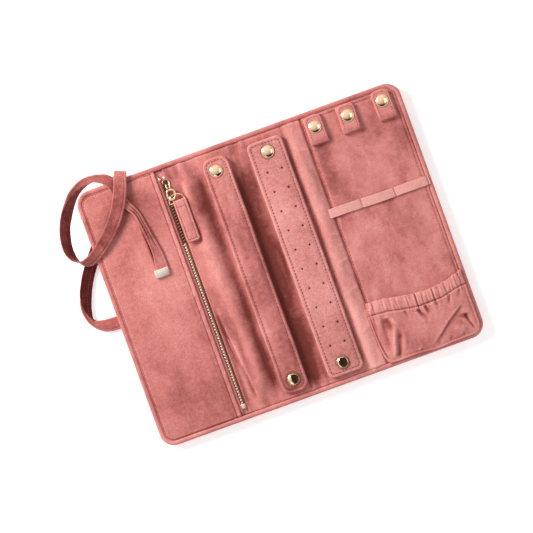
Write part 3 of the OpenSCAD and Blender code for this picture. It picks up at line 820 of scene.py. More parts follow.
def lining_shade_and_light(x, y):
    """Painted shade between and beside the straps, painted highlight on the fold zones."""
    length = fall(y, 97, 34) * rise(y, -106, 16)
    gap = rise(x, -11.4, 1.2) * fall(x, 7.4, 3.5)
    nap_and_shade = -gap * length * (1.10 - 0.46 * rise(x, -6, 12) + 0.10 * NOISE_B(x / 5, y / 18))
    nap_and_shade = nap_and_shade - 0.18 * gap * (1 - length)
    # shade along the left side of the ring strap
    centre = -36.6 - 1.6 * rise(y, -20, 50)
    width = (4.2 + 1.3 * rise(y, -10, 40)) * (1 - 0.4 * rise(y, 50, 40))
    shade = bump(x, centre, width) * fall(x, -31.6, 0.8) * fall(y, 99, 22) * rise(y, -100, 20)
    nap_and_shade = nap_and_shade - shade * (0.72 + 0.12 * NOISE_C(x / 5, y / 16))
    nap_and_shade = nap_and_shade - 0.14 * fall(x, -35.5, 2) * fall(y, 20, 60)
    # painted highlight on the right fold zone, painted shade at its edges and seam
    folds = rise(x, 36.5, 1.5) * fall(x, 54.6, 2.5)
    nap_and_shade = nap_and_shade + folds * (0.30 + 0.42 * fall(y, -30, 40))
    nap_and_shade = nap_and_shade - 0.30 * bump(x, 37.0, 1.6) * fall(np.abs(y), 100, 8)
    nap_and_shade = nap_and_shade - 0.38 * bump(x, 53.9, 1.1)
    # painted shade along the rolled edge
    d = from_roll(x, y)
    nap_and_shade = nap_and_shade - 0.55 * decay(d + 0.1, 0.6)
    nap_and_shade = nap_and_shade - rise(x, 56, 4) * (0.34 * bump(d, 2.9, 0.6) + 0.16 * bump(d, 1.3, 1.1))
    for amount, at_zero, lean, spread, (start, rising), (end, falling) in SHADE_AND_LIGHT_STREAKS:
        mark = bump(x, at_zero + lean * y, spread)
        nap_and_shade = nap_and_shade + amount * mark * rise(y, start, rising) * fall(y, end, falling)
    nap_and_shade = nap_and_shade + spots(x, y, LINING_SPOTS)
    # right panel: drifting tone, darker beside the seam higher up
    beside = 0.22 * bump(x, 62, 6) * rise(y, 20, 30) * fall(y, 96, 8)
    return nap_and_shade + rise(x, 56, 3) * (0.20 * layered(NOISE_A, x / 9 + 4, y / 16) - beside)


LINING_INSET = ROLL - 0.7               # tucked under the rolled edge


def lining_piece(name, x0, x1, left, right):
    rect = (x0, x1, BOTTOM + LINING_INSET, TOP - LINING_INSET)
    x, y = soft_grid(rect, 1.0, (0, 0.5, 1.0, 1.6, 2.4), left, right)
    if right:
        x, y = round_corners(x, y, rect, CORNER - LINING_INSET, ("br", "tr"))
    top = lining_z(x, y)
    ob = slab(name, x, y, top, LINING_BOTTOM, LINING)
    return paint(ob, lining_shade_and_light(x, y) + cavity_shade(top, 26, gain=0.55, low=-0.5, high=0.25))


lining_left = lining_piece("lining_left", -63.3, MEET_X, left=True, right=False)
lining_right = lining_piece("lining_right", MEET_X, RIGHT - LINING_INSET, left=False, right=True)


# ------------------------------------------------------------------ outer cover, rolled edge
def cover_piece(name, x0, x1, left):
    rect = (x0, x1, BOTTOM, TOP)
    x, y = soft_grid(rect, 2.0, left=left, right=not left)
    x, y = round_corners(x, y, rect, CORNER, ("bl", "tl") if left else ("br", "tr"))
    d = inset(x, y, CASE, CORNER)
    under = 1.9 * np.clip(1 - d / 2.4, 0, 1) ** 2.2         # rounds up at the edge
    drift = 0.10 * layered(NOISE_B, x / 26, y / 30) + 0.05 * layered(NOISE_A, x / 6, y / 7, 2)
    groove = 0.35 * bump(d, 4.9, 0.8)
    under = under + np.clip(drift + groove, -0.05, None) * rise(d, 0, 3) + 0.02
    return slab(name, x, y, np.maximum(1.24, under + 0.25), under, OUTER)


cover_left = cover_piece("outer_cover_left", LEFT, 0.0, True)
cover_right = cover_piece("outer_cover_right", 0.0, RIGHT, False)

# section of the rolled edge: distance in from the outline before narrowing, z
ROLL_NARROWING = 0.885
ROLL_SECTION = [(d * ROLL_NARROWING, z) for d, z in (
    (0.10, 3.0), (0.06, 2.2), (0.32, 1.45), (0.95, 1.1), (1.9, 1.28), (3.4, 1.28),
    (4.35, 1.5), (4.72, 2.4), (4.66, 3.7), (4.60, 4.55), (4.25, 5.18), (3.35, 5.52),
    (2.25, 5.60), (1.25, 5.35), (0.6, 4.7), (0.24, 3.9))]


def roll_piece(name, side):
    """Half of the rolled edge, cut at x = 0; side is -1 for the left and 1 for the right."""
    loop = resample(rounded_path(CASE, CORNER, 14), 1.5, closed=True)
    half = loop[loop[:, 0] * side > 0]
    angle = np.arctan2(half[:, 1], half[:, 0] - 10 * side)
    if side < 0:
        angle = np.where(angle < 0, angle + 2 * math.pi, angle)
    half = half[np.argsort(angle)]
    path = np.vstack([(0, half[0][1], 0), half, (0, half[-1][1], 0)])
    tangent = tangents(path)
    inward = np.stack([-tangent[:, 1], tangent[:, 0]], -1)
    for end in (0, -1):
        inward[end] = (0, -np.sign(path[end][1]))
    verts = []
    for i, (x, y, _) in enumerate(path):
        wobble = 0.14 * layered(NOISE_A, x / 6 + 5, y / 6, 2)
        fatness = 0.05 * NOISE_B(x / 11, y / 11)
        if i in (0, len(path) - 1):
            wobble, fatness = 0.0, 0.0      # the halves must meet
        for d, z in ROLL_SECTION:
            top = rise(z, 1.6, 2.0)
            reach = d + wobble * 0.4 * top if d < 4 else d
            verts.append((x + inward[i][0] * reach, y + inward[i][1] * reach,
                          z + (z - 1.3) * fatness * top + 0.5 * wobble * top))
    ob = new_mesh(name, verts, ring_faces(len(path), len(ROLL_SECTION)), OUTER)
    return autosmooth(ob, 70)


roll_left = roll_piece("rolled_edge_left", -1)
roll_right = roll_piece("rolled_edge_right", 1)
for roll in (roll_left, roll_right):
    x, y, z = coords(roll)
    # painted highlight at the right and bottom edges, painted shade low on the inner side
    inner_side_shade = rise(z, 4.2, 0.4) * fall(z, 4.9, 0.3) * rise(inset(x, y, CASE, CORNER), 3.2, 0.5)
    paint(roll, 0.34 * rise(x, 126, 4) + 0.30 * fall(y, -100, 4)
          + 0.06 * layered(NOISE_A, x / 7, y / 7, 2) - 0.5 * inner_side_shade)

# ------------------------------------------------------------------ zip pocket flap
FLAP_TUCK = ROLL - 0.55                 # the flap runs slightly under the rolled edge
FLAP = (LEFT + FLAP_TUCK, HEM_X, BOTTOM + FLAP_TUCK, TOP - FLAP_TUCK)
# spots of painted light and shade on the flap: amount, x, y, radius along x, radius along y
FLAP_LIGHT_AND_SHADE_SPOTS = (
    (0.16, -92, 20, 26, 45), (-0.16, -112, 88, 14, 14), (0.34, -78, 98, 9, 9),
    (-0.30, -103, 78, 7, 12), (-0.55, -93, 84, 8.5, 9), (-0.30, -118, 80, 8, 7),
    (-0.30, -86.5, 66, 4, 16), (0.16, -92, 22, 16, 34), (0.14, -124, 92, 9, 12),
    (0.14, -109, -44, 12, 15), (-0.32, -80.5, 86, 5, 8), (-0.10, -97, -84, 12, 12),
)


def flap_z(x, y):
    """A flat sheet with a folded hem at its free right edge."""
    x, y = np.asarray(x, float), np.asarray(y, float)
    z = 5.55 + 0.10 * layered(NOISE_B, x / 22 + 4, y / 30)
    z = z + 0.05 * layered(NOISE_A, x / 5, y / 6, 2)
    d = from_roll(x, y)
    z = z - decay(d + 0.3, 0.42) + 0.07 * bump(d, 1.9, 0.9) - 0.22 * bump(d, 0.85, 0.40)
    from_hem = HEM_X - x
    hem = fall(from_hem, 3.9, 0.7)
    z = z + 0.28 * hem - 0.40 * bump(from_hem, 3.6, 0.50) - 0.18 * bump(from_hem, 6.4, 0.9)
    # puckers between the hem stitches
    z = z + 0.16 * hem * np.sin(y / 1.9 + 2 * NOISE_A(0.3, y / 9)) * bump(from_hem, 2.0, 1.6)
    # faint diagonal pull lines near the lower hem corner
    z = z + (0.22 * bump((x + 84) * 0.9 + (y + 94) * 0.35, 0, 2.6)
             * fall(y, -74, 16) * rise(x, -104, 18))
    return z + 0.16 * bump((x + 92) * 0.8 + (y + 99) * 0.6, 0, 2.2) * fall(y, -80, 12)


def flap_shade_and_light(x, y, from_hem):
    # painted shade along the rolled edge and in the hem groove, painted highlight on the hem,
    # darker towards the bottom
    d = from_roll(x, y)
    nap_and_shade = -0.42 * bump(d, 0.85, 0.42) - 0.5 * decay(d, 0.35)
    nap_and_shade += 0.22 * fall(from_hem, 3.2, 0.5) - 0.55 * bump(from_hem, 3.6, 0.55)
    nap_and_shade -= 0.14 * fall(y, -35, 30) * bump(x, -105, 30) + 0.16 * fall(y, -52, 26)
    # soft shade under the loop of ribbon
    nap_and_shade -= (0.30 * bump((x + 101.5) * 0.78 - (y - 80) * 0.62, 0, 4.2)
            * rise(y, 58, 14) * fall(y, 98, 8))
    return nap_and_shade + spots(x, y, FLAP_LIGHT_AND_SHADE_SPOTS)


def pocket_flap():
    x, y = soft_grid(FLAP, 1.15)
    x, y = round_corners(x, y, FLAP, CORNER - FLAP_TUCK, ("bl", "tl"))
    from_hem = np.clip(HEM_X - x, 0, None)
    top = np.maximum(flap_z(x, y) - edge_drop(from_hem, 0.7, 0.75), 4.9)
    bottom = 4.66 + 0.12 * np.clip(1 - from_hem / 0.7, 0, 1)
    ob = slab("pocket_flap", x, y, top, bottom, VELVET)
    nap_and_shade = flap_shade_and_light(x, y, from_hem) + cavity_shade(top, 12, gain=0.9, low=-0.4, high=0.2)
    return paint(ob, nap_and_shade)


flap = pocket_flap()
hem_stitches = stitches("pocket_hem_stitches",
                        upright_row(HEM_X - 3.6, FLAP[2] + 2.0, FLAP[3] - 2.0),
                        flap_z, seed=2, pitch=2.5, radius=0.24)


# ------------------------------------------------------------------ panel stitch rows
def edge_loop(x0, x1, gap, radius):
    """Loop a gap inside the case's top and bottom edges, between x0 and x1."""
    path = rounded_path((x0, x1, BOTTOM + gap, TOP - gap), radius, 10)
    return resample(path, 1.0, closed=True)


GROOVE_GAP = ROLL + 0.85
loop = edge_loop(LEFT + GROOVE_GAP, 200, GROOVE_GAP, CORNER - ROLL - 0.8)
groove_stitches = stitches("pocket_edge_stitches",
                           open_arc(loop, loop[:, 0] < HEM_X - 1.2, -1, -100),
                           flap_z, seed=3)
PANEL_GAP = ROLL + 2.9
loop = edge_loop(-200, RIGHT - PANEL_GAP, PANEL_GAP, CORNER - ROLL - 2.6)
panel_stitches = stitches("panel_edge_stitches_right", open_arc(loop, loop[:, 0] > 56, 1, 60),
                          lining_z, seed=4)
seam_stitches = stitches("panel_seam_stitches", upright_row(55.2, -100, 100, 50), lining_z,
                         seed=5, pitch=2.7, radius=0.2)

# the stitching seen on the outside, in the cover's groove
OUTER_GAP = 4.9
loop = edge_loop(LEFT + OUTER_GAP, RIGHT - OUTER_GAP, OUTER_GAP, CORNER - OUTER_GAP)
outer_stitches = []
for suffix, path, seed in (
        ("l", open_arc(loop, loop[:, 0] < -64, -1, -90), 6),
        ("r", open_arc(loop, loop[:, 0] > 56, 1, 80), 6),
        ("mid_top", [(x, TOP - OUTER_GAP, 0) for x in np.linspace(-32, 34, 24)], 8),
        ("mid_bottom", [(x, BOTTOM + OUTER_GAP, 0) for x in np.linspace(-32, 34, 24)], 8)):
    outer_stitches.append(stitches("outer_stitches_" + suffix, path, lambda x, y: -0.02,
                                   seed=seed, pitch=3.0, length=2.1, radius=0.2, sink=-0.28))

# ------------------------------------------------------------------ domed snap caps
# (radius, z)
CAP_PROFILE = (
    (0.0, 1.62), (0.8, 1.60), (1.6, 1.53), (2.4, 1.40), (3.1, 1.22), (3.7, 1.00),
    (4.15, 0.76), (4.42, 0.56), (4.5, 0.44), (4.56, 0.40), (4.66, 0.42), (4.85, 0.47),
    (5.02, 0.44), (5.14, 0.34), (5.2, 0.2), (5.18, 0.08), (5.05, 0.0), (0.0, 0.0))
CAP_RADIUS = 5.2
CAP_HEIGHT = 1.55                       # from its seat to the top of the CAD cap


def cap_seat(node):
    low, high = node_box(node)
    return (low[0] + high[0]) / 2, (low[1] + high[1]) / 2, high[2] - CAP_HEIGHT


def snap_cap(name, seat):
    return lathe(name, CAP_PROFILE, seat, GOLD, 72)


anchor_low, anchor_high = node_box("anchor_snap_caps")
anchor_z = anchor_high[2] - CAP_HEIGHT
ring_top, ear_top = cap_seat("ring_strap_snap_cap"), cap_seat("earring_strap_snap_cap")
ring_bottom = (anchor_low[0] + CAP_RADIUS, anchor_high[1] - CAP_RADIUS, anchor_z)
ear_bottom = (anchor_high[0] - CAP_RADIUS, anchor_low[1] + CAP_RADIUS, anchor_z)
for name, seat, body, replaced in (
        ("ring_strap_cap_top", ring_top, "ring_strap", "ring_strap_snap_cap"),
        ("earring_strap_cap_top", ear_top, "earring_strap", "earring_strap_snap_cap"),
        ("ring_strap_cap_bottom", ring_bottom, "center_panel", "anchor_snap_caps"),
        ("earring_strap_cap_bottom", ear_bottom, "center_panel", None)):
    cap = snap_cap(name, seat)
    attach(cap, body)
    if replaced:
        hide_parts(replaced)


# ------------------------------------------------------------------ straps
STRAP_GROOVE = 2.95                     # the stitch groove's distance in from the edge


class Strap:
    """A flat padded strap held by a snap cap at each end."""

    def __init__(self, node, corner, caps, rim, groove, pad, wobble, seed, holes=()):
        low, high = node_box(node + "_back")
        self.rect = (low[0], high[0], node_box(node + "_anchor")[0][1], high[1])
        self.corner, self.caps, self.holes = corner, caps, holes
        self.rim, self.groove, self.pad = rim, groove, pad
        self.wobble, self.seed = wobble, seed

    def inset(self, x, y):
        return inset(x, y, self.rect, self.corner)

    def z(self, x, y):
        x, y = np.asarray(x, float), np.asarray(y, float)
        d, seed = self.inset(x, y), self.seed
        z = 8.95 + self.rim * bump(d, 1.5, 0.95) + self.pad * rise(d, 2.9, 3.6)
        z = z - self.groove * bump(d, STRAP_GROOVE, 0.5)
        fine = 0.25 * layered(NOISE_B, x / 3, y / 3.4 + seed, 2) * rise(d, 0, 2)
        z = z + self.wobble * (0.6 * layered(NOISE_A, x / 9 + seed, y / 13) + fine)
        # cross creases where the padding gives
        creases = np.clip(np.sin(y / 5.3 + 2.6 * NOISE_C(y / 21, seed)), 0.72, 1)
        z = z - self.wobble * 0.36 * creases * bump(d, 3.4, 1.6)
        for cx, cy, _ in self.caps:
            away = np.hypot(x - cx, y - cy)
            flat = fall(away, 7.4, 2.2)
            z = z * (1 - flat) + (9.24 - 0.30 * bump(away, 5.75, 0.55)) * flat
        for hx, hy in self.holes:
            z = z - 0.26 * bump(np.hypot(x - hx, y - hy), 0.0, 1.7)
        return z

    def build(self, name, mat, step):
        x0, x1, y0, y1 = self.rect
        x, y = soft_grid(self.rect, step)
        x, y = round_corners(x, y, self.rect, self.corner)
        d = np.clip(self.inset(x, y), 0, None)
        top = self.z(x, y) - edge_drop(d, 1.05, 1.9)
        bottom = 5.42 + edge_drop(d, 1.2, 1.15)
        bottom = bottom + 0.12 * layered(NOISE_B, x / 8, y / 10, 2) * rise(d, 0, 2)
        # the outline wanders a little, as sewn fabric does
        side = np.sign(x - (x0 + x1) / 2)
        wander = 0.55 * layered(NOISE_C, y / 17 + self.seed, side * 3.1, 2)
        x = x + (side * self.wobble * wander * fall(d, 6, 6)
                 * fall(y, y1 - 8, 10) * rise(y, y0 + 8, 10))
        return slab(name, x, y, top, bottom, mat)

    def brush(self, ob, groove, top_highlight, seed):
        """Paints shade and highlight: painted shade in the groove, round the caps, in the holes and
        down the sides, painted highlight towards the top end.
        """
        x, y, z = coords(ob)
        d = self.inset(x, y)
        nap_and_shade = 0.05 * bump(d, 1.3, 0.9) - groove * bump(d, STRAP_GROOVE, 0.50)
        nap_and_shade = nap_and_shade + top_highlight * rise(y, 58, 30)
        nap_and_shade = nap_and_shade + 0.16 * layered(NOISE_A, x / 16 + seed, y / 22)
        nap_and_shade = nap_and_shade - 0.16 * bump(x, 13, 14) * bump(y, -72, 24)
        for cx, cy, _ in self.caps:
            nap_and_shade = nap_and_shade - 0.40 * bump(np.hypot(x - cx, y - cy), 5.6, 0.9)
        for hx, hy in self.holes:
            nap_and_shade = nap_and_shade - 0.35 * bump(np.hypot(x - hx, y - hy), 0.8, 0.5)
        paint(ob, np.where(z > 7.6, nap_and_shade, -0.45))

    def stitch(self, name, seed):
        path = rounded_path(shrunk(self.rect, STRAP_GROOVE),
                            max(self.corner - STRAP_GROOVE, 1.2), 8)
        return stitches(name, path, self.z, seed, THREAD_DARK, pitch=2.7, length=1.6,
                        radius=0.30, sink=-0.05, closed=True)


# ten rows of two holes for earrings
HOLE_RADIUS = 0.78
HOLES = [(x, 72.2 - 16.32 * k) for k in range(10) for x in (15.4, 27.5)]


def cut_holes(ob):
    profile = [(0, 6), (HOLE_RADIUS, 6), (HOLE_RADIUS, -2), (0, -2)]
    cutter = join("cut", [lathe("c", profile, (hx, hy, 5.6), HOLE, 20) for hx, hy in HOLES])
    modifier = ob.modifiers.new("holes", "BOOLEAN")
    modifier.operation, modifier.solver, modifier.object = "DIFFERENCE", "EXACT", cutter
    bpy.context.view_layer.update()
    depsgraph = bpy.context.evaluated_depsgraph_get()
    mesh = bpy.data.meshes.new_from_object(ob.evaluated_get(depsgraph), depsgraph=depsgraph,
                                           preserve_all_data_layers=True)
    ob.modifiers.clear()
    ob.data = mesh
    bpy.data.objects.remove(cutter, do_unlink=True)
    autosmooth(ob, 50)


ring = Strap("ring_strap", corner=7.6, caps=(ring_top, ring_bottom), rim=0.10, groove=0.30,
             pad=0.42, wobble=0.55, seed=1.7)
ear = Strap("earring_strap", corner=5.2, caps=(ear_top, ear_bottom), rim=0.04, groove=0.20,
            pad=0.14, wobble=0.20, seed=4.2, holes=HOLES)

ring_ob = ring.build("ring_strap_velvet", STRAP_VELVET, 0.9)
ear_ob = ear.build("earring_strap_suede", SUEDE, 0.8)
cut_holes(ear_ob)
ring.brush(ring_ob, groove=0.34, top_highlight=0.24, seed=3.0)
ear.brush(ear_ob, groove=0.26, top_highlight=0.08, seed=8.0)
ring_stitches = ring.stitch("ring_strap_stitches", 21)
ear_stitches = ear.stitch("earring_strap_stitches", 22)
for ob, body in ((ring_ob, "ring_strap"), (ring_stitches, "ring_strap"),
                 (ear_ob, "earring_strap"), (ear_stitches, "earring_strap")):
    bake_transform(ob)
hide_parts("ring_strap_cover", "ring_strap_back", "ring_strap_anchor",
            "ring_strap_core")
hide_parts("earring_strap_front", "earring_strap_back", "earring_strap_anchor",
            "earring_strap_stiffener")

# ------------------------------------------------------------------ necklace tabs
TAB_FOLD = node_box("necklace_tab_1")[0][1] - 0.5       # y of the fold
TAB_LEAN = {1: 0.0, 2: 0.9, 3: -0.7}    # sideways lean of each tab 24 mm above its fold
TAB_CORNER = 4.3
TAB_TOP_Z = 7.84
# places across a tab, as shares of its width
TAB_SHARES = np.array([0, 0.012, 0.035, 0.08, 0.14, *np.linspace(0.2, 0.8, 11),
                       0.86, 0.92, 0.965, 0.988, 1.0])


def tab_path(y_top):
    """(y, z) from the sewn end, under the tab, round the fold and along the top."""
    fold_y, fold_z, radius = 81.1, 6.74, 1.06
    path = [(102.6, 5.62), (97, 5.62), (91, 5.64), (86, 5.66), (82.6, 5.68), (81.2, 5.66)]
    path += [(fold_y - radius * math.sin(a), fold_z - radius * math.cos(a))
             for a in np.linspace(0.25, math.pi - 0.2, 9)]
    path += [(81.3, 7.86), (82.4, 7.9), (84.5, 7.86)]
    path += [(84.5 + (y_top - 84.5) * t, TAB_TOP_Z) for t in np.linspace(0, 1, 23)[1:-4]]
    path += [(y_top - e, TAB_TOP_Z) for e in (2.6, 1.9, 1.3, 0.8, 0.4, 0.12, 0.0)]
    return np.array(path)


def tab_lean(k, y):
    return TAB_LEAN[k] * (y - TAB_FOLD) / 24.0


def tab_strip(k, centre_x, width, y_top, cap_y):
    """The folded velvet strip of one tab."""
    path = tab_path(y_top)
    outer, inner = [], []
    for (y, z), (ty, tz) in zip(path, tangents(path)):
        on_top = z > 7.5
        to_end = y_top - y if on_top else 50
        half = width / 2 if on_top else width / 2 - 0.25
        if to_end < TAB_CORNER:
            arc = max(TAB_CORNER ** 2 - (TAB_CORNER - to_end) ** 2, 0.0)
            half = max(width / 2 - TAB_CORNER + math.sqrt(arc), 0.4)
        x = (TAB_SHARES * 2 - 1) * half
        edge = np.minimum(half - np.abs(x), to_end)
        roundness = np.sqrt(np.maximum(0.0, 1 - np.maximum(0.0, 1 - edge) ** 2))
        thickness = (0.86 if on_top else 0.56) * (0.25 + 0.75 * roundness)
        puff = lean = 0.0
        if on_top:
            puff = 0.16 * bump(edge, 1.3, 0.8) - 0.20 * bump(edge, 2.3, 0.4)
            puff = puff + 0.10 * layered(NOISE_A, (x + k * 9) / 4, y / 5, 2)
            from_cap = np.hypot(x, y - cap_y)
            flat = fall(from_cap, 7.0, 1.8)
            puff = puff * (1 - flat) - flat * 0.22 * bump(from_cap, 5.7, 0.5)
            lean = tab_lean(k, y)
        x = centre_x + x + lean
        out, back = thickness + puff, thickness * 0.9
        outer.append(np.stack([x, y + tz * out, z - ty * out], -1))
        inner.append(np.stack([x, y - tz * back, z + ty * back], -1))
    ob = shell(f"necklace_tab_strip_{k}", np.array(outer), np.array(inner), VELVET)
    x, y, _ = coords(ob)
    # painted shade along the fold at the lower end
    return paint(ob, 0.32 - 0.34 * fall(y, float(y.min()) + 5.5, 3.5)
                 + 0.10 * layered(NOISE_B, x / 4 + k, y / 5, 2))


def tab_stitches(k, centre_x, width, y_top):
    margin = 2.0
    reach = width / 2 - margin
    path = rounded_path((centre_x - reach, centre_x + reach, 70, y_top - margin), 2.6, 6)
    path = resample(path, 0.8, closed=True)
    path = path[path[:, 1] > TAB_FOLD + 2.6]
    path = path[np.argsort(np.arctan2(path[:, 0] - centre_x, path[:, 1] - 84))]
    path[:, 0] += tab_lean(k, path[:, 1])
    return stitches(f"necklace_tab_stitches_{k}", path, lambda x, y: 8.66, seed=30 + k,
                    pitch=2.2, length=1.55, radius=0.2, sink=0.04)


tab_strips = []
for k in (1, 2, 3):
    low, high = node_box(f"necklace_tab_{k}")
    centre_x, width, y_top = (low[0] + high[0]) / 2, high[0] - low[0], high[1]
    cap_x, cap_y, cap_z = cap_seat(f"tab_snap_cap_{k}")
    strip = tab_strip(k, centre_x, width, y_top, cap_y)
    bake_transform(strip)
    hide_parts(f"necklace_tab_{k}")
    tab_strips.append(strip)
    cap = snap_cap(f"necklace_tab_cap_{k}", (cap_x + tab_lean(k, cap_y), cap_y, cap_z))
    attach(cap, f"tab_{k}")
    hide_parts(f"tab_snap_cap_{k}")
    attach(tab_stitches(k, centre_x, width, y_top), f"tab_{k}")

# ------------------------------------------------------------------ elastic band
band_low, band_high = node_box("elastic_band")
BAND_X0, BAND_X1 = band_low[0], band_high[0] + 2.6
BAND_Y, BAND_WIDTH = (band_low[1] + band_high[1]) / 2, band_high[1] - band_low[1]
TACKS = np.array([50.0, 77.4, 105.5, 133.6])    # x of the rows that hold it down


def band_y(x):
    """Its middle line."""
    t = (x - BAND_X0) / (BAND_X1 - BAND_X0)
    return BAND_Y + 0.25 - 1.1 * t + 0.22 * np.sin(t * 9.0)


def band_top(x):
    """Arches up between the tacks."""
    x = np.asarray(x, float)
    k = np.clip(np.searchsorted(TACKS, x) - 1, 0, 2)
    t = np.clip((x - TACKS[k]) / (TACKS[k + 1] - TACKS[k]), 0, 1)
    return 6.35 + 0.85 * np.sin(np.pi * t) ** 0.8 * (x > TACKS[0]) * (x < TACKS[3])


def elastic_band():
    half = BAND_WIDTH / 2
    x, v = np.meshgrid(axis_points(BAND_X0, BAND_X1, 0.9, (0, 0.15, 0.4, 0.8)),
                       axis_points(-half, half, 0.5, (0, 0.1, 0.3, 0.6)), indexing="ij")
    y = band_y(x) + v * (1 - 0.05 * sum(bump(x, tack, 1.6) for tack in TACKS))
    top = band_top(x) + 0.05 * np.sin(v / BAND_WIDTH * 2 * np.pi * 8)       # eight ribs
    top = top - 0.16 * sum(bump(x, tack, 0.6) for tack in TACKS)
    edge = np.clip(half - np.abs(v), 0, None)
    top = top + 0.05 * layered(NOISE_A, x / 6, v / 2, 2) - edge_drop(edge, 0.35, 0.3)
    bottom = top - 0.85 + 2 * edge_drop(edge, 0.35, 0.22)
    return slab("elastic_band_woven", x, y, top, bottom, ELASTIC)


def band_folded_end():
    """The tail folded under at the left end."""
    half = BAND_WIDTH / 2 - 0.15
    x, v = np.meshgrid(np.linspace(BAND_X0 + 0.2, 52.2, 12), np.linspace(-half, half, 12),
                       indexing="ij")
    return slab("elastic_band_folded_end", x, band_y(x) + v, 5.52, 5.02, ELASTIC)


def band_tacks():
    """Two zigzag rows of thread at each tack."""
    rows = []
    reach = BAND_WIDTH / 2 - 0.1
    for i, tack in enumerate(TACKS):
        for j, dx in enumerate((-0.32, 0.32)):
            path = [(tack + dx + 0.05 * (-1) ** k, band_y(tack) + y, 0)
                    for k, y in enumerate(np.linspace(-reach, reach, 8))]
            rows.append(stitches(f"tack{i}{j}", path, lambda x, y: float(band_top(x)) - 0.12,
                                 40 + i * 2 + j, TACK_THREAD, pitch=1.05, length=1.0,
                                 radius=0.2))
    return join("elastic_band_tacks", rows)


band = elastic_band()
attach(band, "right_panel")
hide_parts("elastic_band")
band_end = band_folded_end()
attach(band_end, "right_panel")
tacks = band_tacks()
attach(tacks, "right_panel")
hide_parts("band_bar_tacks")

# ------------------------------------------------------------------ gathered pocket
pocket_low, pocket_high = node_box("gathered_pocket")
PX0, PX1 = pocket_low[0] - 2.5, pocket_high[0] + 2.2
PY0, PY1 = pocket_low[1] - 2.9, pocket_high[1] + 0.4
POCKET_CORNER = 8.6


def outline(places, values):
    return lambda place: np.interp(place, places, values)


# x of the left side over y; y of the bottom, the mouth and the casing seam over x
pocket_left = outline((-106, -103, -98, -88, -72, -60, -52),
                      (57.0, 54.6, 52.6, 51.4, 50.9, 51.0, 52.6))
pocket_bottom = outline(
    (51, 60, 70, 84, 92, 98, 108, 120, 135),
    (-105.9, -105.5, -105.1, -105.5, -106.5, -106.7, -106.1, -105.8, -105.7))
pocket_mouth = outline(
    (51, 56, 62, 68, 78, 90, 95, 103, 108, 113, 120, 126, 130.5, 132, 135),
    (-52.7, -52.8, -53.0, -53.8, -55.7, -57.6, -58.2, -58.7, -58.2, -57.6, -56.4, -55.0,
     -53.8, -52.8, -52.3))
pocket_seam = outline(
    (51, 56, 68, 78, 88, 94, 103, 113, 123, 130, 135),
    (-63.4, -63.4, -64.3, -66.4, -68.2, -68.9, -68.7, -68.4, -66.0, -64.8, -64.4))

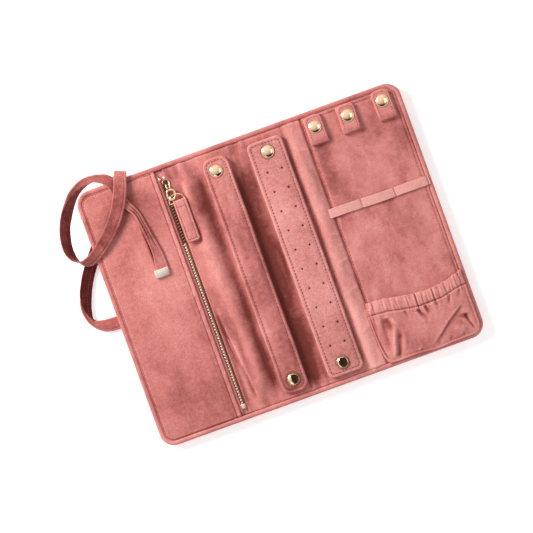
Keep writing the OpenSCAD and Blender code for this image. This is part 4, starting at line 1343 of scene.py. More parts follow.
# creases: kind, height, width, fade at the start and at the end (shares of the length), points
CREASES = (
    # the deep pleat at the lower left and its neighbours
    ("valley", -1.75, 1.9, 0.30, 0.14,
     ((72.6, -79.6), (71.6, -84), (69.4, -90), (66.2, -98.5), (63.5, -103))),
    ("ridge", 0.6, 2.2, 0.3, 0.25, ((74.2, -79.0), (73.5, -84.5), (71.6, -90.5), (68.6, -98.5))),
    ("ridge", 1.25, 2.3, 0.25, 0.25,
     ((68.2, -76.0), (67.2, -82.0), (64.6, -90.0), (62.6, -98.0), (58.5, -101))),
    ("valley", -1.6, 2.3, 0.2, 0.6, ((64.8, -68.0), (65.2, -74.5), (64.4, -82.5))),
    ("valley", -1.0, 1.5, 0.25, 0.35,
     ((61.8, -64.5), (61.6, -72), (60.6, -82), (60.0, -92), (58.6, -98.5))),
    ("ridge", 0.95, 2.0, 0.25, 0.3,
     ((63.6, -66.5), (67.5, -71.5), (71.5, -76.5), (73.3, -79.4))),
    ("valley", -0.8, 0.8, 0.2, 0.4, ((57.2, -56.0), (56.0, -62), (54.9, -70), (54.6, -82))),
    ("valley", -0.75, 0.45, 0.05, 0.1,
     ((53.0, -54.5), (52.7, -64), (53.2, -82), (54.6, -95), (56.6, -102))),
    # fans under the gathers
    ("valley", -0.8, 0.9, 0.1, 0.6, ((80.6, -68.2), (81.6, -72), (82.6, -76))),
    ("valley", -1.5, 1.0, 0.1, 0.6, ((90.0, -70.4), (92.2, -74), (94.8, -78), (96.2, -83))),
    ("ridge", 0.6, 1.3, 0.15, 0.6, ((87.8, -71.0), (90.5, -76), (92.5, -83), (93.4, -90))),
    ("valley", -1.4, 1.1, 0.1, 0.6, ((97.4, -69.6), (98.2, -73.5), (99.8, -78.5))),
    ("ridge", 0.7, 1.2, 0.1, 0.6, ((95.6, -70.0), (96.0, -74.0), (97.0, -79.0))),
    ("valley", -0.8, 0.9, 0.1, 0.6, ((105.6, -69.0), (107.2, -72.5), (108.2, -75))),
    ("ridge", 0.5, 1.5, 0.1, 0.6, ((103.4, -69.4), (104.0, -76.0), (104.6, -82.0))),
    ("valley", -1.1, 1.0, 0.1, 0.6, ((119.4, -68.0), (117.4, -72.0), (116.0, -77.0))),
    ("valley", -0.6, 0.9, 0.1, 0.6, ((127.5, -66.5), (126.0, -71.0), (125.0, -75.0))),
    # the long diagonal fold
    ("step", 1.15, 4.6, 0.3, 0.25,
     ((91.5, -104.0), (102.6, -95.2), (110.6, -88.6), (118.6, -83.2), (128.6, -77.4))),
    # the dent at the lower right
    ("valley", -1.6, 2.8, 0.4, 0.4, ((125.6, -86.0), (125.0, -90.0), (123.6, -92.0))),
    ("valley", -1.4, 0.8, 0.1, 0.35,
     ((125.4, -86.2), (126.2, -92.0), (128.6, -99.0), (130.6, -103.0))),
    ("ridge", 0.8, 2.4, 0.3, 0.3, ((113.0, -94.0), (119.0, -97.5), (124.0, -97.0))),
    # low folds along the bottom seam
    ("ridge", 0.5, 1.4, 0.2, 0.5, ((80.0, -103.0), (84.0, -100.0), (86.0, -97.0))),
    ("valley", -0.6, 1.2, 0.2, 0.5, ((108.0, -103.5), (110.0, -99.0))),
    ("valley", -0.5, 1.0, 0.2, 0.5, ((98.0, -104.0), (99.0, -100.0))),
    ("valley", -0.6, 1.0, 0.2, 0.5, ((120.0, -103.5), (119.0, -100.5))),
)
# tucks in the casing: x, depth
GATHERS = ((58.0, 0.9), (66.0, 0.35), (71.5, 0.35), (76.6, 0.45), (85.2, 0.6), (92.4, 1.9),
           (97.6, 0.6), (106.9, 1.7), (101.4, 0.5), (111.6, 0.5), (117.0, 0.6),
           (121.5, 0.5), (127.2, 0.5), (130.8, 1.0))
# spots of painted shade and light on the pocket: amount, x, y, radius along x, radius along y
POCKET_LIGHT_AND_SHADE_SPOTS = (
    (-0.42, 65, -73.5, 3.4, 6.5), (-0.38, 74.6, -87, 1.9, 8.5), (-0.30, 98.5, -76, 3.0, 5.5),
    (-0.34, 119.5, -90.5, 6, 4.6), (-0.22, 84, -98.5, 14, 3.6), (-0.25, 57, -86, 2.2, 10),
    (0.24, 86, -84, 7, 8), (0.22, 104, -79, 6, 5))


def beside(x, y, points):
    """Nearest distance to a polyline, its sign (positive on the left of the direction of
    travel) and the position 0..1 along it."""
    line = np.array(points, float)
    run = run_lengths(line)
    nearest = np.full(x.shape, 1e9)
    sign, position = np.zeros(x.shape), np.zeros(x.shape)
    for i in range(len(line) - 1):
        a, d = line[i], line[i + 1] - line[i]
        t = np.clip(((x - a[0]) * d[0] + (y - a[1]) * d[1]) / (d @ d), 0, 1)
        qx, qy = x - a[0] - t * d[0], y - a[1] - t * d[1]
        away = np.hypot(qx, qy)
        closer = away < nearest
        nearest = np.where(closer, away, nearest)
        sign = np.where(closer, np.sign(d[0] * qy - d[1] * qx), sign)
        position = np.where(closer, (run[i] + t * (run[i + 1] - run[i])) / run[-1], position)
    return nearest, sign, position


def crease_fields(x, y):
    """For each crease: kind, height, width, distance, side, position, strength."""
    for kind, height, width, fade_in, fade_out, points in CREASES:
        away, side, t = beside(x, y, points)
        strength = smoothstep(t / fade_in) * smoothstep((1 - t) / fade_out)
        yield kind, height, width, away, side, t, strength


def add_creases(z, x, y):
    for kind, height, width, away, side, t, strength in crease_fields(x, y):
        reach = width * (1.3 if kind == "valley" else 1.15) * (1 + 0.25 * NOISE_C(x / 7, y / 7))
        if kind == "valley":
            shape = np.exp(-(away / reach) ** 2)
        elif kind == "ridge":
            shape = np.exp(-(away / reach) ** 1.5)
        else:
            # its ends close off instead of running on
            strength = strength * np.where((t <= 0) | (t >= 1), 0.0, 1.0)
            shape = np.where(side > 0, np.exp(-away / (width * 2.2)) * rise(away, -0.55, 1.1),
                             -0.35 * np.exp(-away / width) * rise(away, 0, 0.8))
        z = z + height * shape * strength
    return z


def crease_shade(x, y):
    """Painted shade in the folds and painted highlight along their crests."""
    nap_and_shade = 0.0
    for kind, height, width, away, side, _, strength in crease_fields(x, y):
        if kind == "valley":
            shade = -0.24 * abs(height) * np.exp(-(away / (width * 1.05)) ** 2)
        elif kind == "ridge":
            shade = 0.20 * height * np.exp(-(away / (width * 0.9)) ** 2)
        else:
            shade = np.where(side > 0, 0.16 * np.exp(-away / 2.5), -0.30 * np.exp(-away / 1.1))
        nap_and_shade = nap_and_shade + shade * strength
    return nap_and_shade


def add_gathers(z, x, y, mouth, from_seam, in_casing):
    """Narrow tucks in the casing that fan out and fade below it."""
    below = np.clip(-from_seam, 0, None)
    fade = decay(-from_seam, 4.2)
    for i, (gather_x, depth) in enumerate(GATHERS):
        drift = 0.0 if i % 3 else 0.08
        centre = gather_x + 0.5 * NOISE_A(gather_x, y / 6.0) + drift * below
        width = 0.42 + 0.10 * np.clip(below, 0, 20)
        tuck = bump(x, centre, width) * fall(y, mouth, 2.0) * (0.55 + 0.45 * in_casing)
        sides = bump(x, centre - 1.4, width * 1.6) + bump(x, centre + 1.4, width * 1.6)
        z = z + depth * fade * (0.22 * sides - tuck)
    return z


def pocket_z(x, y):
    x, y = np.asarray(x, float), np.asarray(y, float)
    mouth, seam = pocket_mouth(x), pocket_seam(x)
    from_left, from_right = x - pocket_left(y), PX1 - x
    # soft minimum of the distances to the three sewn edges
    edge = sum(np.exp(-d / 1.6) for d in (from_left, from_right, y - pocket_bottom(x)))
    edge = np.clip(-1.6 * np.log(edge), 0, None)
    z = 6.35 + 2.3 * (1 - np.exp(-edge / 5.5)) + 0.75 * rise(x, 53, 26) * fall(x, 134, 22)
    z = z + 0.40 * bump(edge, 1.3, 1.0) - 0.32 * bump(edge, 2.6, 0.7)
    # the casing stands up round its elastic, the stitch line pulls in
    from_seam = y - seam
    in_casing = rise(from_seam, -0.5, 1.4)
    across = np.clip(from_seam / np.clip(mouth - seam, 4, None), 0, 1)
    arch = 0.75 * np.sin(np.pi * across) ** 0.8 - 0.25
    z = z + in_casing * arch * rise(from_left, 0, 4) * rise(from_right, 0, 4)
    z = z - 0.75 * bump(from_seam, 0.0, 0.62) * rise(from_left, 1, 3)
    z = z + 0.30 * bump(from_seam, -1.5, 1.1)
    z = add_gathers(z, x, y, mouth, from_seam, in_casing)
    z = z + (0.16 * np.sin(x / 0.95 + 2.2 * NOISE_B(x / 6, y / 9)) * decay(-from_seam, 2.2)
             * rise(from_left, 0, 3))
    z = add_creases(z, x, y)
    z = z + 0.22 * layered(NOISE_C, x / 10, y / 10) * rise(edge, 0, 6)
    z = z + 0.07 * layered(NOISE_A, x / 3, y / 3, 2) - edge_drop(edge, 1.1, 0.95)
    # at the two upper corners the hem is sewn down
    sewn = 0.7 * (1 - rise(from_left, 0, 3.2)) + 0.3 * (1 - rise(from_right, 0, 3.0))
    return np.clip(z - sewn * rise(y, -66, 6), 5.85, 10.45)


def pocket_warp(x, y):
    """Moves a square grid on to the pocket's own soft outline."""
    s, t = (x - PX0) / (PX1 - PX0), (y - PY0) / (PY1 - PY0)
    bottom = pocket_bottom(x)
    ripple = 0.28 * np.sin(x / 1.15 + 2 * NOISE_B(x / 7, 0.5)) + 0.3 * NOISE_A(x / 2.2, 8.1)
    y = bottom + t * (pocket_mouth(x) + ripple * t ** 6 - bottom)
    left = pocket_left(y)
    return left + s * (PX1 + 0.25 * NOISE_B(y / 9, 3.3) * s - left), y


def gathered_pocket():
    rect = (PX0, PX1, PY0, PY1)
    x, y = soft_grid(rect, 0.5, (0, 0.12, 0.32, 0.6, 0.95))
    x, y = round_corners(x, y, rect, POCKET_CORNER, ("br",))
    x, y = pocket_warp(x, y)
    from_mouth = np.clip(pocket_mouth(x) - y, 0, None)
    top = np.maximum(pocket_z(x, y) - edge_drop(from_mouth, 0.8, 0.55), 5.9)
    # the rounded lower right corner
    corner_x, corner_y = PX1 - POCKET_CORNER, PY0 + POCKET_CORNER
    in_corner = (x > corner_x) & (y < corner_y)
    out = np.hypot(np.clip(x - corner_x, 0, None), np.clip(corner_y - y, 0, None))
    from_arc = np.clip(POCKET_CORNER - out, 0, None)
    dome = 6.3 + 2.4 * (1 - np.exp(-from_arc / 5.0)) + 0.4 - edge_drop(from_arc, 1.1, 0.95)
    top = np.where(in_corner, np.minimum(top, dome), top)
    # the under side is a thin sheet that drops to the lining along the three sewn edges
    right = np.where(in_corner, from_arc, PX1 - x)
    edge = np.minimum(np.minimum(x - pocket_left(y), right), y - pocket_bottom(x))
    edge = np.clip(edge, 0, None)
    under = top - 0.75
    dropped = np.minimum(under, 5.15 + (under - 5.15) * rise(edge, 0, 1.8))
    under = np.maximum(np.where(edge < 1.8, dropped, under), 5.05)
    ob = slab("gathered_pocket_velvet", x, y, top, under, VELVET)
    from_seam = y - pocket_seam(x)
    # painted light and shade: paler to the right and over the casing, shaded creases, painted shade
    # along the sewn edges and the casing seam
    nap_and_shade = 0.14 + 0.10 * rise(x, 112, 12) + 0.20 * rise(from_seam, 0, 1.2)
    nap_and_shade = nap_and_shade + spots(x, y, POCKET_LIGHT_AND_SHADE_SPOTS) + crease_shade(x, y)
    nap_and_shade = nap_and_shade + cavity_shade(top, 46, gain=0.62, low=-0.9, high=0.4)
    return paint(ob, nap_and_shade - 0.62 * np.exp(-edge / 0.7) - 0.30 * bump(from_seam, 0, 0.6))


def pocket_elastic():
    """The elastic inside the casing, following its gathers."""
    x, share = np.meshgrid(np.linspace(PX0 + 3.4, PX1 - 2.4, 220), np.linspace(0.16, 0.80, 8),
                           indexing="ij")
    seam = pocket_seam(x)
    y = seam + (pocket_mouth(x) - seam) * share
    z = blur(pocket_z(x, y), 2) - 0.42
    return slab("gathered_pocket_elastic", x, y, z, z - 0.22, ELASTIC)


pocket = gathered_pocket()
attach(pocket, "right_panel")
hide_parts("gathered_pocket")
casing_row = [(x, float(pocket_seam(x)), 0) for x in np.linspace(PX0 + 2.6, PX1 - 2.0, 90)]
bottom_row = [(x, float(pocket_bottom(x)) + 2.5, 0) for x in np.linspace(PX0 + 8, PX1 - 8, 60)]
left_row = [(float(pocket_left(y)) + 2.5, y, 0) for y in np.linspace(PY0 + 6, PY1 - 3, 40)]
SEWN = dict(pitch=2.6, length=1.7, radius=0.14, sink=0.04)
pocket_stitches = [
    stitches("gathered_pocket_" + suffix, path, pocket_z, seed=seed, **style)
    for suffix, path, seed, style in (
        ("casing_stitches", casing_row, 51, dict(pitch=2.3, length=1.6, sink=0.0)),
        ("bottom_stitches", bottom_row, 52, SEWN),
        ("side_stitches", left_row, 53, SEWN),
        ("side_stitches_right", upright_row(PX1 - 2.6, PY0 + 9, PY1 - 4), 54, SEWN))]
for ob in pocket_stitches:
    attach(ob, "right_panel")
elastic = pocket_elastic()
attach(elastic, "right_panel")
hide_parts("pocket_elastic")

# ------------------------------------------------------------------ zip teeth and stops
TOOTH_PITCH = 2.4
SHADED_TEETH_Y = 42                             # painted shade: teeth above this take the shaded materials
tooth_rnd = random.Random(11)
TOOTH = rounded_box((1.95, 1.22, 1.7), bevel=0.3, segments=2)


def tooth_places(node):
    low, high = node_box(node)
    return np.arange(low[1] + 0.55, high[1], TOOTH_PITCH)


def tooth_row(name, x, z, ys, mat, wear_and_shade):
    jitter = tooth_rnd.uniform
    places = [(x + jitter(-.04, .04), y, z + jitter(-.03, .03), jitter(-.03, .03)) for y in ys]
    ob = copies(name, TOOTH, places, mat)
    # teeth above the line take the shaded material: painted shade
    ob.data.materials.append(wear_and_shade)
    for polygon in ob.data.polygons:
        if polygon.center.y / MM > SHADED_TEETH_Y:
            polygon.material_index = 1
    return ob


left_ys, right_ys = tooth_places("zip_teeth_left"), tooth_places("zip_teeth_right")
if abs(left_ys[0] - right_ys[0]) < 0.5:
    right_ys = right_ys + TOOTH_PITCH / 2       # so that the two rows mesh
teeth_left = tooth_row("zip_teeth_row_left", ZIP_X - 0.30, 4.62, left_ys, GOLD_ZIP, GOLD_IN_SHADE)
teeth_right = tooth_row("zip_teeth_row_right", ZIP_X + 0.34, 4.12, right_ys, GOLD_ZIP_SHADED, GOLD_ZIP_DEEP_SHADE)
for ob, node in ((teeth_left, "zip_teeth_left"), (teeth_right, "zip_teeth_right")):
    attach(ob, "left_panel")
    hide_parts(node)

stop_y = node_box("zip_top_stops")[0][1]
top_stops = copies("zip_stops_top", rounded_box((1.9, 2.2, 1.9), bevel=0.5, segments=3),
                   [(ZIP_X - 1.9, stop_y + 1.0, 4.6, 0.1), (ZIP_X + 2.0, stop_y + 1.1, 4.6, -0.12)],
                   GOLD_ZIP)
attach(top_stops, "left_panel")
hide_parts("zip_top_stops")
low, high = node_box("zip_bottom_stop")
size = (high[0] - low[0] + 0.1, high[1] - low[1] + 0.1, 1.7)
bottom_stop = copies("zip_stop_bottom", rounded_box(size, bevel=0.5, segments=3),
                     [((low[0] + high[0]) / 2, (low[1] + high[1]) / 2, 4.6, 0)], GOLD_ZIP)
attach(bottom_stop, "left_panel")
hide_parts("zip_stop_bottom" if False else "zip_bottom_stop")

# ------------------------------------------------------------------ zip slider and pull
SLIDER_X, SLIDER_Y = ZIP_X + 1.7, 90.8
SLIDER_TURN = -0.14
# levels of the shield: outline share, z
SHIELD_LEVELS = ((0.96, 5.55), (1.03, 5.68), (1.0, 5.92), (0.93, 6.14), (0.82, 6.34),
                 (0.66, 6.54), (0.48, 6.70), (0.28, 6.8), (0.1, 6.84))


def squircle(count, power):
    """Points x, y of a squared-off unit circle, with the sine of each angle."""
    for k in range(count):
        angle = 2 * math.pi * k / count
        c, s = math.cos(angle), math.sin(angle)
        reach = (abs(c) ** power + abs(s) ** power) ** (-1 / power)
        yield c * reach, s * reach, s


def slider_shield():
    """Domed body, wide at the top (+Y) and narrowing to its foot."""
    rim = [((3.35 if s > 0 else 3.35 - (-s) ** 1.6) * x, (4.3 if s > 0 else 6.2) * y)
           for x, y, s in squircle(40, 2.9)]
    c, s = math.cos(SLIDER_TURN), math.sin(SLIDER_TURN)
    verts = []
    for share, z in SHIELD_LEVELS:
        for x, y in rim:
            verts.append((SLIDER_X + (c * x - s * y) * share, SLIDER_Y + (s * x + c * y) * share,
                          z))
    ob = new_mesh("slider_body", verts, ring_faces(len(SHIELD_LEVELS), 40), GOLD, GOLD_IN_SHADE)
    # painted dark reflection on the left of the shield's top, in the shaded gold
    for polygon in ob.data.polygons:
        x, y, z = polygon.center / MM
        if z > 6.05 and x < SLIDER_X + 1.9 + SLIDER_TURN * (SLIDER_Y - y):
            polygon.material_index = 1
    return ob


def slider_lug():
    """The arch the link hangs from."""
    arch = []
    for a in np.linspace(-0.12, math.pi + 0.12, 20):
        z = 6.2 + 2.75 * math.sin(a) ** 0.85 if 0 < a < math.pi else 6.1
        arch.append((-64.4, 88.0 + 3.3 * math.cos(a), z))
    return tube("lug", arch, 0.66, GOLD, 14)


slider = join("zip_slider_polished", [slider_shield(), slider_lug()])
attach(slider, "slider")
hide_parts("zip_slider")


def pull_link():
    """A heavy oval, turned slightly."""
    low, high = node_box("zip_pull_link")
    centre_x, centre_y, turn = (low[0] + high[0]) / 2, 82.0, 0.10
    c, s = math.cos(turn), math.sin(turn)
    oval = [(centre_x + 3.15 * x * c + 4.0 * y * s, centre_y - 3.15 * x * s + 4.0 * y * c,
             7.95 + 0.25 * sine) for x, y, sine in squircle(56, 2.5)]
    return tube("zip_pull_link_oval", oval, 1.0, GOLD, 16, closed=True)


def pull_ring():
    """D-ring of round wire, bowed at the top, with a straight bar through the puller."""
    centre_x, bar_y = -60.25, 74.6
    wire = []
    for a in np.linspace(math.pi, 0, 26):
        s = math.sin(a)
        wire.append((centre_x + 6.25 * math.cos(a), 75.4 + 6.0 * s ** 0.92,
                     7.9 + 0.85 * s * (0.4 if 0.9 < a < 2.0 else 0.55)))
    wire += [(centre_x + 6.2, 74.9, 7.85), (centre_x + 5.6, bar_y, 7.8)]
    wire += [(centre_x + x, bar_y, 7.8) for x in np.linspace(4.6, -4.6, 12)]
    wire += [(centre_x - 5.6, bar_y, 7.8), (centre_x - 6.2, 74.9, 7.85)]
    path = resample(wire, 0.6, closed=True)
    return tube("zip_pull_ring_wire", path, 0.56, GOLD, 12, closed=True)


link = pull_link()
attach(link, "pull_link")
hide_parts("zip_pull_link")
d_ring = pull_ring()
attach(d_ring, "pull_ring")
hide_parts("zip_pull_ring")

low, high = node_box("zip_pull_tab")
PULLER = (low[0], high[0], low[1], 76.3)
PULLER_CORNER = 2.5
PULLER_GROOVE = 1.95                    # stitch groove, in from the edge
PULLER_SEAM_Y = 70.4                    # stitch line across it


def puller_inset(x, y, beyond):
    """Distance inwards from an outline that runs on beyond the top end."""
    x0, x1, y0, y1 = PULLER
    return inset(x, y, (x0, x1, y0, y1 + beyond), PULLER_CORNER)


def puller_z(x, y):
    x, y = np.asarray(x, float), np.asarray(y, float)
    d = puller_inset(x, y, 3)
    z = 8.72 + 0.24 * bump(d, 1.0, 0.7) - 0.40 * bump(d, PULLER_GROOVE, 0.36)
    z = z + 0.26 * rise(d, 2.0, 1.8) - 0.30 * bump(y, PULLER_SEAM_Y, 0.45) * rise(d, 0, 1.4)
    return z + 0.22 * rise(y, 71, 2.5) + 0.08 * layered(NOISE_A, x / 4, y / 5)


def puller_slab():
    """Padded velvet slab folded over the D-ring's bar."""
    x0, x1, y0, y1 = PULLER
    x, y = soft_grid(PULLER, 0.55, (0, 0.1, 0.28, 0.55, 0.9))
    x, y = round_corners(x, y, PULLER, PULLER_CORNER, ("bl", "br"))
    x = x + ((x0 + x1) / 2 - x) * 0.07 * rise(y, 72.5, 3.2)     # tapers to the bar
    from_end = np.clip(y1 - y, 0, None)
    edge = np.clip(puller_inset(x, y, 4), 0, None)
    top = puller_z(x, y) - edge_drop(edge, 0.9, 0.85) - edge_drop(from_end, 1.4, 1.0)
    bottom = 6.62 + edge_drop(edge, 0.9, 0.75) + edge_drop(from_end, 1.4, 0.95)
    return slab("zip_pull_tab_velvet", x, y, top, bottom, VELVET)


puller = puller_slab()
x0, x1, y0, _ = PULLER
path = rounded_path((x0 + PULLER_GROOVE, x1 - PULLER_GROOVE, y0 + PULLER_GROOVE, PULLER_SEAM_Y),
                    0.9, 5)
puller_stitches = stitches("zip_pull_tab_stitches", path, puller_z, 61, THREAD_DARK,
                           pitch=2.1, length=1.45, radius=0.24, closed=True)
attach(puller, "pull_tab")
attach(puller_stitches, "pull_tab")
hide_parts("zip_pull_tab")
x, y, _ = coords(puller)
# painted shade in the stitch groove and towards the lower end; paler towards the top
paint(puller, 0.32 + 0.14 * rise(y, 70, 3) - 0.20 * fall(y, 57, 3)
      - 0.30 * bump(puller_inset(x, y, 3), PULLER_GROOVE, 0.4))


# ------------------------------------------------------------------ ribbon helpers
def ribbon_section(width, thickness=1.25):
    """Section of the flat ribbon as (across, up): the velvet side, then the inner side.
    The edges are rolled and each side has a stitch groove."""
    h = width / 2
    g = h - 2.0         # groove of the velvet side
    up = [(-h + 0.05, 0.0), (-h + 0.12, 0.30), (-h + 0.42, 0.56), (-h + 0.95, 0.66),
          (-h + 1.6, 0.58), (-h * 0.5, 0.55), (0, 0.58), (h * 0.36, 0.55),
          (g - 0.45, 0.52), (g - 0.15, 0.34), (g + 0.15, 0.34), (g + 0.45, 0.56),
          (h - 0.95, 0.68), (h - 0.42, 0.60), (h - 0.12, 0.32), (h - 0.03, 0.0)]
    down = [(h - 0.12, -0.30), (h - 0.45, -0.52), (h - 1.0, -0.58), (h - 1.7, -0.46),
            (h * 0.3, -0.50), (-h * 0.1, -0.50), (-h * 0.35, -0.34), (-h * 0.42, -0.34),
            (-h * 0.55, -0.5), (-h + 1.2, -0.52), (-h + 0.45, -0.5), (-h + 0.12, -0.28)]
    return np.array(up + down) * (1, thickness / 1.25)


VELVET_POINTS = 16                      # the section's points on the velvet side
SECTION_SHARES = ribbon_section(10.0)[:, 0] / 5.0
SECTION_COUNT = len(SECTION_SHARES)


def ribbon_frame(centres, across, skew=False):
    """Unit vectors along, across and up from the ribbon; skew keeps across as given."""
    ahead = tangents(centres)
    if not skew:
        across = across - ahead * np.sum(across * ahead, axis=1)[:, None]
    across = unit(across)
    return ahead, across, unit(np.cross(ahead, across))


def sweep(name, centres, axes, widths, thickness=1.25, waver=0.10, seed=0.0):
    """Ribbon along centres, in the axes of ribbon_frame."""
    _, across, normal = axes
    run = run_lengths(centres)
    verts = []
    for i, centre in enumerate(centres):
        u, v = ribbon_section(widths[i], thickness).T
        v = v + waver * (NOISE_A(run[i] / 5 + seed, u / 3)
                         + 0.5 * NOISE_B(run[i] / 2.1, u / 2 + seed))
        edge_noise = NOISE_C(run[i] / 6 + seed, np.where(u > 0, 1.0, 5.0))
        u = u + 0.12 * edge_noise * np.abs(u) / (widths[i] / 2)
        verts.extend(centre + np.outer(u, across[i]) + np.outer(v, normal[i]))
    faces = ring_faces(len(centres), SECTION_COUNT)
    # faces of the inner side take the shaded material: painted shade
    inner = range(VELVET_POINTS - 1, VELVET_POINTS + 10)
    face_mats = [int(k in inner) for k in range(SECTION_COUNT)] * (len(centres) - 1) + [0, 0]
    ob = new_mesh(name, verts, faces, RIBBON, RIBBON_INNER_SHADED)
    ob.data.polygons.foreach_set("material_index", face_mats)
    return autosmooth(ob, 60)


def heading(centres, upright=0, angle=0.0):
    """Direction of travel seen from above. The first `upright` points take `angle`."""
    step = np.gradient(centres[:, :2], axis=0)
    speed = np.hypot(step[:, 0], step[:, 1])
    angles = np.unwrap(np.arctan2(step[:, 1], step[:, 0]))
    usable = speed > 0.25 * np.median(speed)
    usable[:upright] = True
    angles[:upright] = angle
    angles = np.unwrap(angles)
    i = np.arange(len(centres))
    return np.interp(i, i[usable], angles[usable])


def rolled(angles, roll):
    """Across vectors: to the left of the heading, rolled up by an angle."""
    left = np.stack([-np.sin(angles), np.cos(angles), np.zeros_like(angles)], -1)
    return left * np.cos(roll)[:, None] + np.array([0, 0, 1.0]) * np.sin(roll)[:, None]


def station_frame(stations, **start):
    """Axes of a ribbon from its stations (x, y, z, roll in degrees, width)."""
    centres = stations[:, :3]
    return ribbon_frame(centres, rolled(heading(centres, **start), np.radians(stations[:, 3])))


def set_shaded_faces(ob, count, shaded_at):
    """Gives faces the darker, shaded material (painted shade) where the given test of (i, o,
    velvet_side) is over 0.5.
    o runs from -1 to 1 across. Returns the value at each vertex."""
    inner = np.array([shaded_at(i, share, k < VELVET_POINTS) for i in range(count)
                      for k, share in enumerate(SECTION_SHARES)], float)
    for polygon in ob.data.polygons:
        polygon.material_index = int(np.mean([inner[v] for v in polygon.vertices]) > 0.5)
    return inner


def tone(ob, count, light_and_shade_at, shaded_at, depth):
    """Paints a ribbon with the light and shade given for each row, darker by depth (painted shade)
    on its shaded faces, paler at its rims (painted highlight).
    """
    inner = set_shaded_faces(ob, count, shaded_at)
    nap_and_shade = np.repeat([light_and_shade_at(i) for i in range(count)], SECTION_COUNT)
    rim = np.tile(0.30 * rise(np.abs(SECTION_SHARES), 0.86, 0.08), count)
    paint(ob, nap_and_shade - inner * depth + rim * (1 - 0.3 * inner))


def ribbon_stitches(name, centres, axes, offset, height, seed, rows,
                    pitch=2.3, length=1.6, radius=0.18):
    """Stitches along a ribbon, offset from its middle, on the side the height points to."""
    ahead, across, normal = axes
    points = centres + across * offset + normal * height
    points, ahead, across, normal = (part[slice(*rows)]
                                     for part in (points, ahead, across, normal))
    run = run_lengths(points)
    rnd = random.Random(seed)
    sign = 1 if height > 0 else -1
    verts, faces = [], []
    q = pitch * 0.5
    while q < run[-1] - pitch * 0.5:
        c, t, a, n = (np.array([np.interp(q, run, column) for column in part.T])
                      for part in (points, ahead, across, normal))
        half = length / 2 * rnd.uniform(0.92, 1.06)
        faces += ring_faces(len(RIBBON_STITCH_SHAPE), STITCH_SIDES, len(verts))
        for along, share, lift in RIBBON_STITCH_SHAPE:
            for w in STITCH_ANGLES:
                up = math.sin(w) * radius * share + lift * radius
                verts.append(c + t * along * half + a * math.cos(w) * radius * share
                             + n * sign * up)
        q += pitch
    return new_mesh(name, verts, faces, THREAD)


def keep_rows(ob, name, first, last):
    """Copy of a ribbon with only some of its rows, the open end closed."""
    part = ob.copy()
    part.data = ob.data.copy()
    part.name = part.data.name = name
    bpy.context.scene.collection.objects.link(part)
    bm = bmesh.new()
    bm.from_mesh(part.data)
    bm.verts.ensure_lookup_table()
    dropped = [v for v in bm.verts if not first <= v.index // SECTION_COUNT <= last]
    bmesh.ops.delete(bm, geom=dropped, context="VERTS")
    boundary = [e for e in bm.edges if e.is_boundary]
    for edge in boundary:
        edge.smooth = False
    for face in bmesh.ops.holes_fill(bm, edges=boundary, sides=0)["faces"]:
        face.smooth = False
    bm.to_mesh(part.data)
    bm.free()
    return part


# ------------------------------------------------------------------ ribbon loop
# x, y, z, roll in degrees, width
LOOP_STATIONS = (
    (-95.0, 112.2, 3.6, 0, 8.6), (-95.0, 113.4, 5.8, 0, 9.4), (-95.3, 112.7, 7.7, 0, 10.0),
    (-96.6, 109.0, 8.9, 0, 10.5), (-99.3, 101.2, 9.1, 0, 10.8), (-105.5, 88.3, 8.95, 0, 10.8),
    (-113.9, 76.3, 8.75, 0, 10.4), (-122.2, 67.6, 8.55, -2, 10.0),
    (-131.6, 60.0, 8.3, -8, 9.6), (-140.6, 54.6, 7.9, -26, 9.5),
    (-148.2, 54.6, 7.4, -72, 9.4), (-153.4, 60.2, 6.8, -118, 9.4),
    (-155.4, 68.6, 6.4, -142, 9.6), (-154.4, 77.6, 6.2, -146, 9.8),
    (-151.6, 86.6, 6.2, -148, 9.8), (-147.4, 94.6, 6.3, -150, 9.8),
    (-142.0, 102.6, 6.4, -153, 9.4), (-136.6, 108.6, 6.5, -157, 8.8),
    (-130.1, 112.9, 6.6, -162, 8.0), (-124.0, 115.0, 6.7, -168, 6.9),
    (-118.6, 115.4, 6.8, -174, 6.0), (-113.2, 113.7, 6.85, -178, 7.2),
    (-107.7, 110.6, 6.8, -180, 8.8), (-104.2, 105.4, 6.75, -180, 9.3),
    (-102.4, 98.6, 6.6, -180, 9.3), (-100.7, 90.6, 6.6, -180, 8.8),
)
LOOP_STEPS = 7
# rows of the loop: its lowest bend, and where the painted shade of the inner face gives way, from
# and to
BEND_ROW, TURN_FROM, TURN_TO = LOOP_STEPS * 10, LOOP_STEPS * 15, LOOP_STEPS * 20
loop_rows = spline(LOOP_STATIONS, LOOP_STEPS)
loop_centres, loop_widths = loop_rows[:, :3], loop_rows[:, 4]
loop_axes = station_frame(loop_rows, upright=20, angle=math.radians(-113.0))


# painted light and shade along the loop, by row
def loop_light_and_shade(i):
    if i < BEND_ROW:
        return float(np.interp(loop_rows[i][1], (55, 63, 78, 92, 101, 108, 113),
                               (-0.36, -0.58, -0.60, -0.40, -0.10, 0.16, 0.30)))
    if i > TURN_FROM:
        rows = (TURN_FROM, TURN_TO - 7, TURN_TO + 10, TURN_TO + 22, len(loop_rows))
        return float(np.interp(i, rows, (-0.30, -0.10, 0.04, -0.45, -0.6)))
    return -0.30


# which faces take the shaded material: the inner side, until the painted shade gives way past the
# turn
def loop_shaded_faces(i, o, velvet_side):
    if velvet_side:
        return 0.0
    t = (i - TURN_FROM) / (TURN_TO - TURN_FROM)
    return float(smoothstep(0.5 + (o + 1.05 - 2.3 * t) / 0.5)) if t > 0 else 1.0


whole_loop = sweep("tie_loop_full", loop_centres, loop_axes, loop_widths, seed=2.0)
tone(whole_loop, len(loop_rows), loop_light_and_shade, loop_shaded_faces, depth=0.30)
